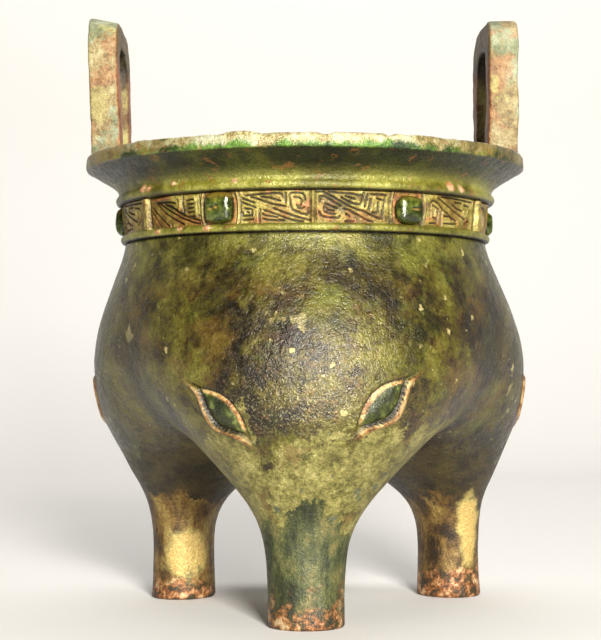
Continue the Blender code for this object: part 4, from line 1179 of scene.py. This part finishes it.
def makeInside():
    ways = np.radians(np.arange(0, 360, 2.5))
    count = len(ways)
    rows = [ringAt(inside, ways, z) for z in np.linspace(136.8, 78, 30)]
    brim = rows[-1]
    down = np.repeat(np.array([[0.0, 0.0, -1.0]]), count, axis=0)
    for share in np.linspace(1, 0.04, 24)[1:]:
        rows.append(castOut(inside, brim * [share, share, 1], down, 38))
    points = np.concatenate(rows)
    slope = skinSlope(inside, points)
    normals = slope / np.maximum(np.linalg.norm(slope, axis=1), 0.1)[:, None]
    points = points - normals * roughness(points, 9.0, 0.3)[:, None]
    grid = np.arange(len(points)).reshape(-1, count)
    faces = []
    for upper, lower in zip(grid, grid[1:]):
        faces += bandFaces(lower, upper)
    faces.append(grid[-1].tolist())
    return pieceFrom("inside", points, faces, bronzeInside)


makeInside()
print("inside closed")


studio = {
    "paper": (0.70, 0.68, 0.65, 1),
    "world": 0.10,
    # place, aim, width and height, power, colour
    "lights": (
        ("keyLight", (0.21, -1.08, 0.40), (0, 0, 0.11), (0.22, 0.42), 31.0, (1, 0.98, 0.93)),
        ("backdropLight", (0.0, 0.35, 1.3), (0, 1.0, 0.2), (1.6, 0.5), 14.0, (1, 1, 1)),
    ),
}


def makeStudio():
    front, back, bend = -1.8, 1.1, 0.35
    curve = [(back - bend + bend * math.sin(t), bend - bend * math.cos(t))
             for t in np.radians(np.linspace(0, 90, 24))]
    profile = [(front, 0.0)] + curve + [(back, 1.6)]
    points = [(x, y, z) for y, z in profile for x in (-2.2, 2.2)]
    mesh = bpy.data.meshes.new("backdrop")
    mesh.from_pydata(points, [], [(i, i + 1, i + 3, i + 2) for i in range(0, len(points) - 2, 2)])
    mesh.shade_smooth()
    backdrop = bpy.data.objects.new("backdrop", mesh)
    bpy.context.scene.collection.objects.link(backdrop)
    paper = bpy.data.materials.new("palePaper")
    paper.use_nodes = True
    shader = paper.node_tree.nodes["Principled BSDF"]
    shader.inputs["Base Color"].default_value = studio["paper"]
    shader.inputs["Roughness"].default_value = 0.85
    mesh.materials.append(paper)

    world = bpy.data.worlds.new("studio")
    world.use_nodes = True
    world.node_tree.nodes["Background"].inputs[0].default_value = (1, 0.98, 0.95, 1)
    world.node_tree.nodes["Background"].inputs[1].default_value = studio["world"]
    bpy.context.scene.world = world

    for name, place, aim, (wide, tall), power, colour in studio["lights"]:
        lamp = bpy.data.lights.new(name, "AREA")
        lamp.shape = "RECTANGLE"
        lamp.size, lamp.size_y = wide, tall
        lamp.energy = power
        lamp.color = colour
        light = bpy.data.objects.new(name, lamp)
        bpy.context.scene.collection.objects.link(light)
        light.location = place
        light.rotation_euler = (Vector(aim) - Vector(place)).to_track_quat("-Z", "Y").to_euler()


makeStudio()


view = {"away": 0.650, "height": 0.089, "lens": 96.64, "tilt": 0.0275, "roll": -0.003, "shift": -0.0077}

camera = bpy.data.cameras.new("camera")
camera.lens = view["lens"]
camera.sensor_width = 36
camera.shift_x = view["shift"]
cameraObject = bpy.data.objects.new("camera", camera)
bpy.context.scene.collection.objects.link(cameraObject)
cameraObject.matrix_world = (
    Matrix.Translation(vesselAxis + Vector((0, -view["away"], view["height"])))
    @ Matrix.Rotation(math.pi / 2 + view["tilt"], 4, "X")
    @ Matrix.Rotation(view["roll"], 4, "Z")
)
bpy.context.scene.camera = cameraObject
bpy.context.scene.view_settings.view_transform = "Standard"
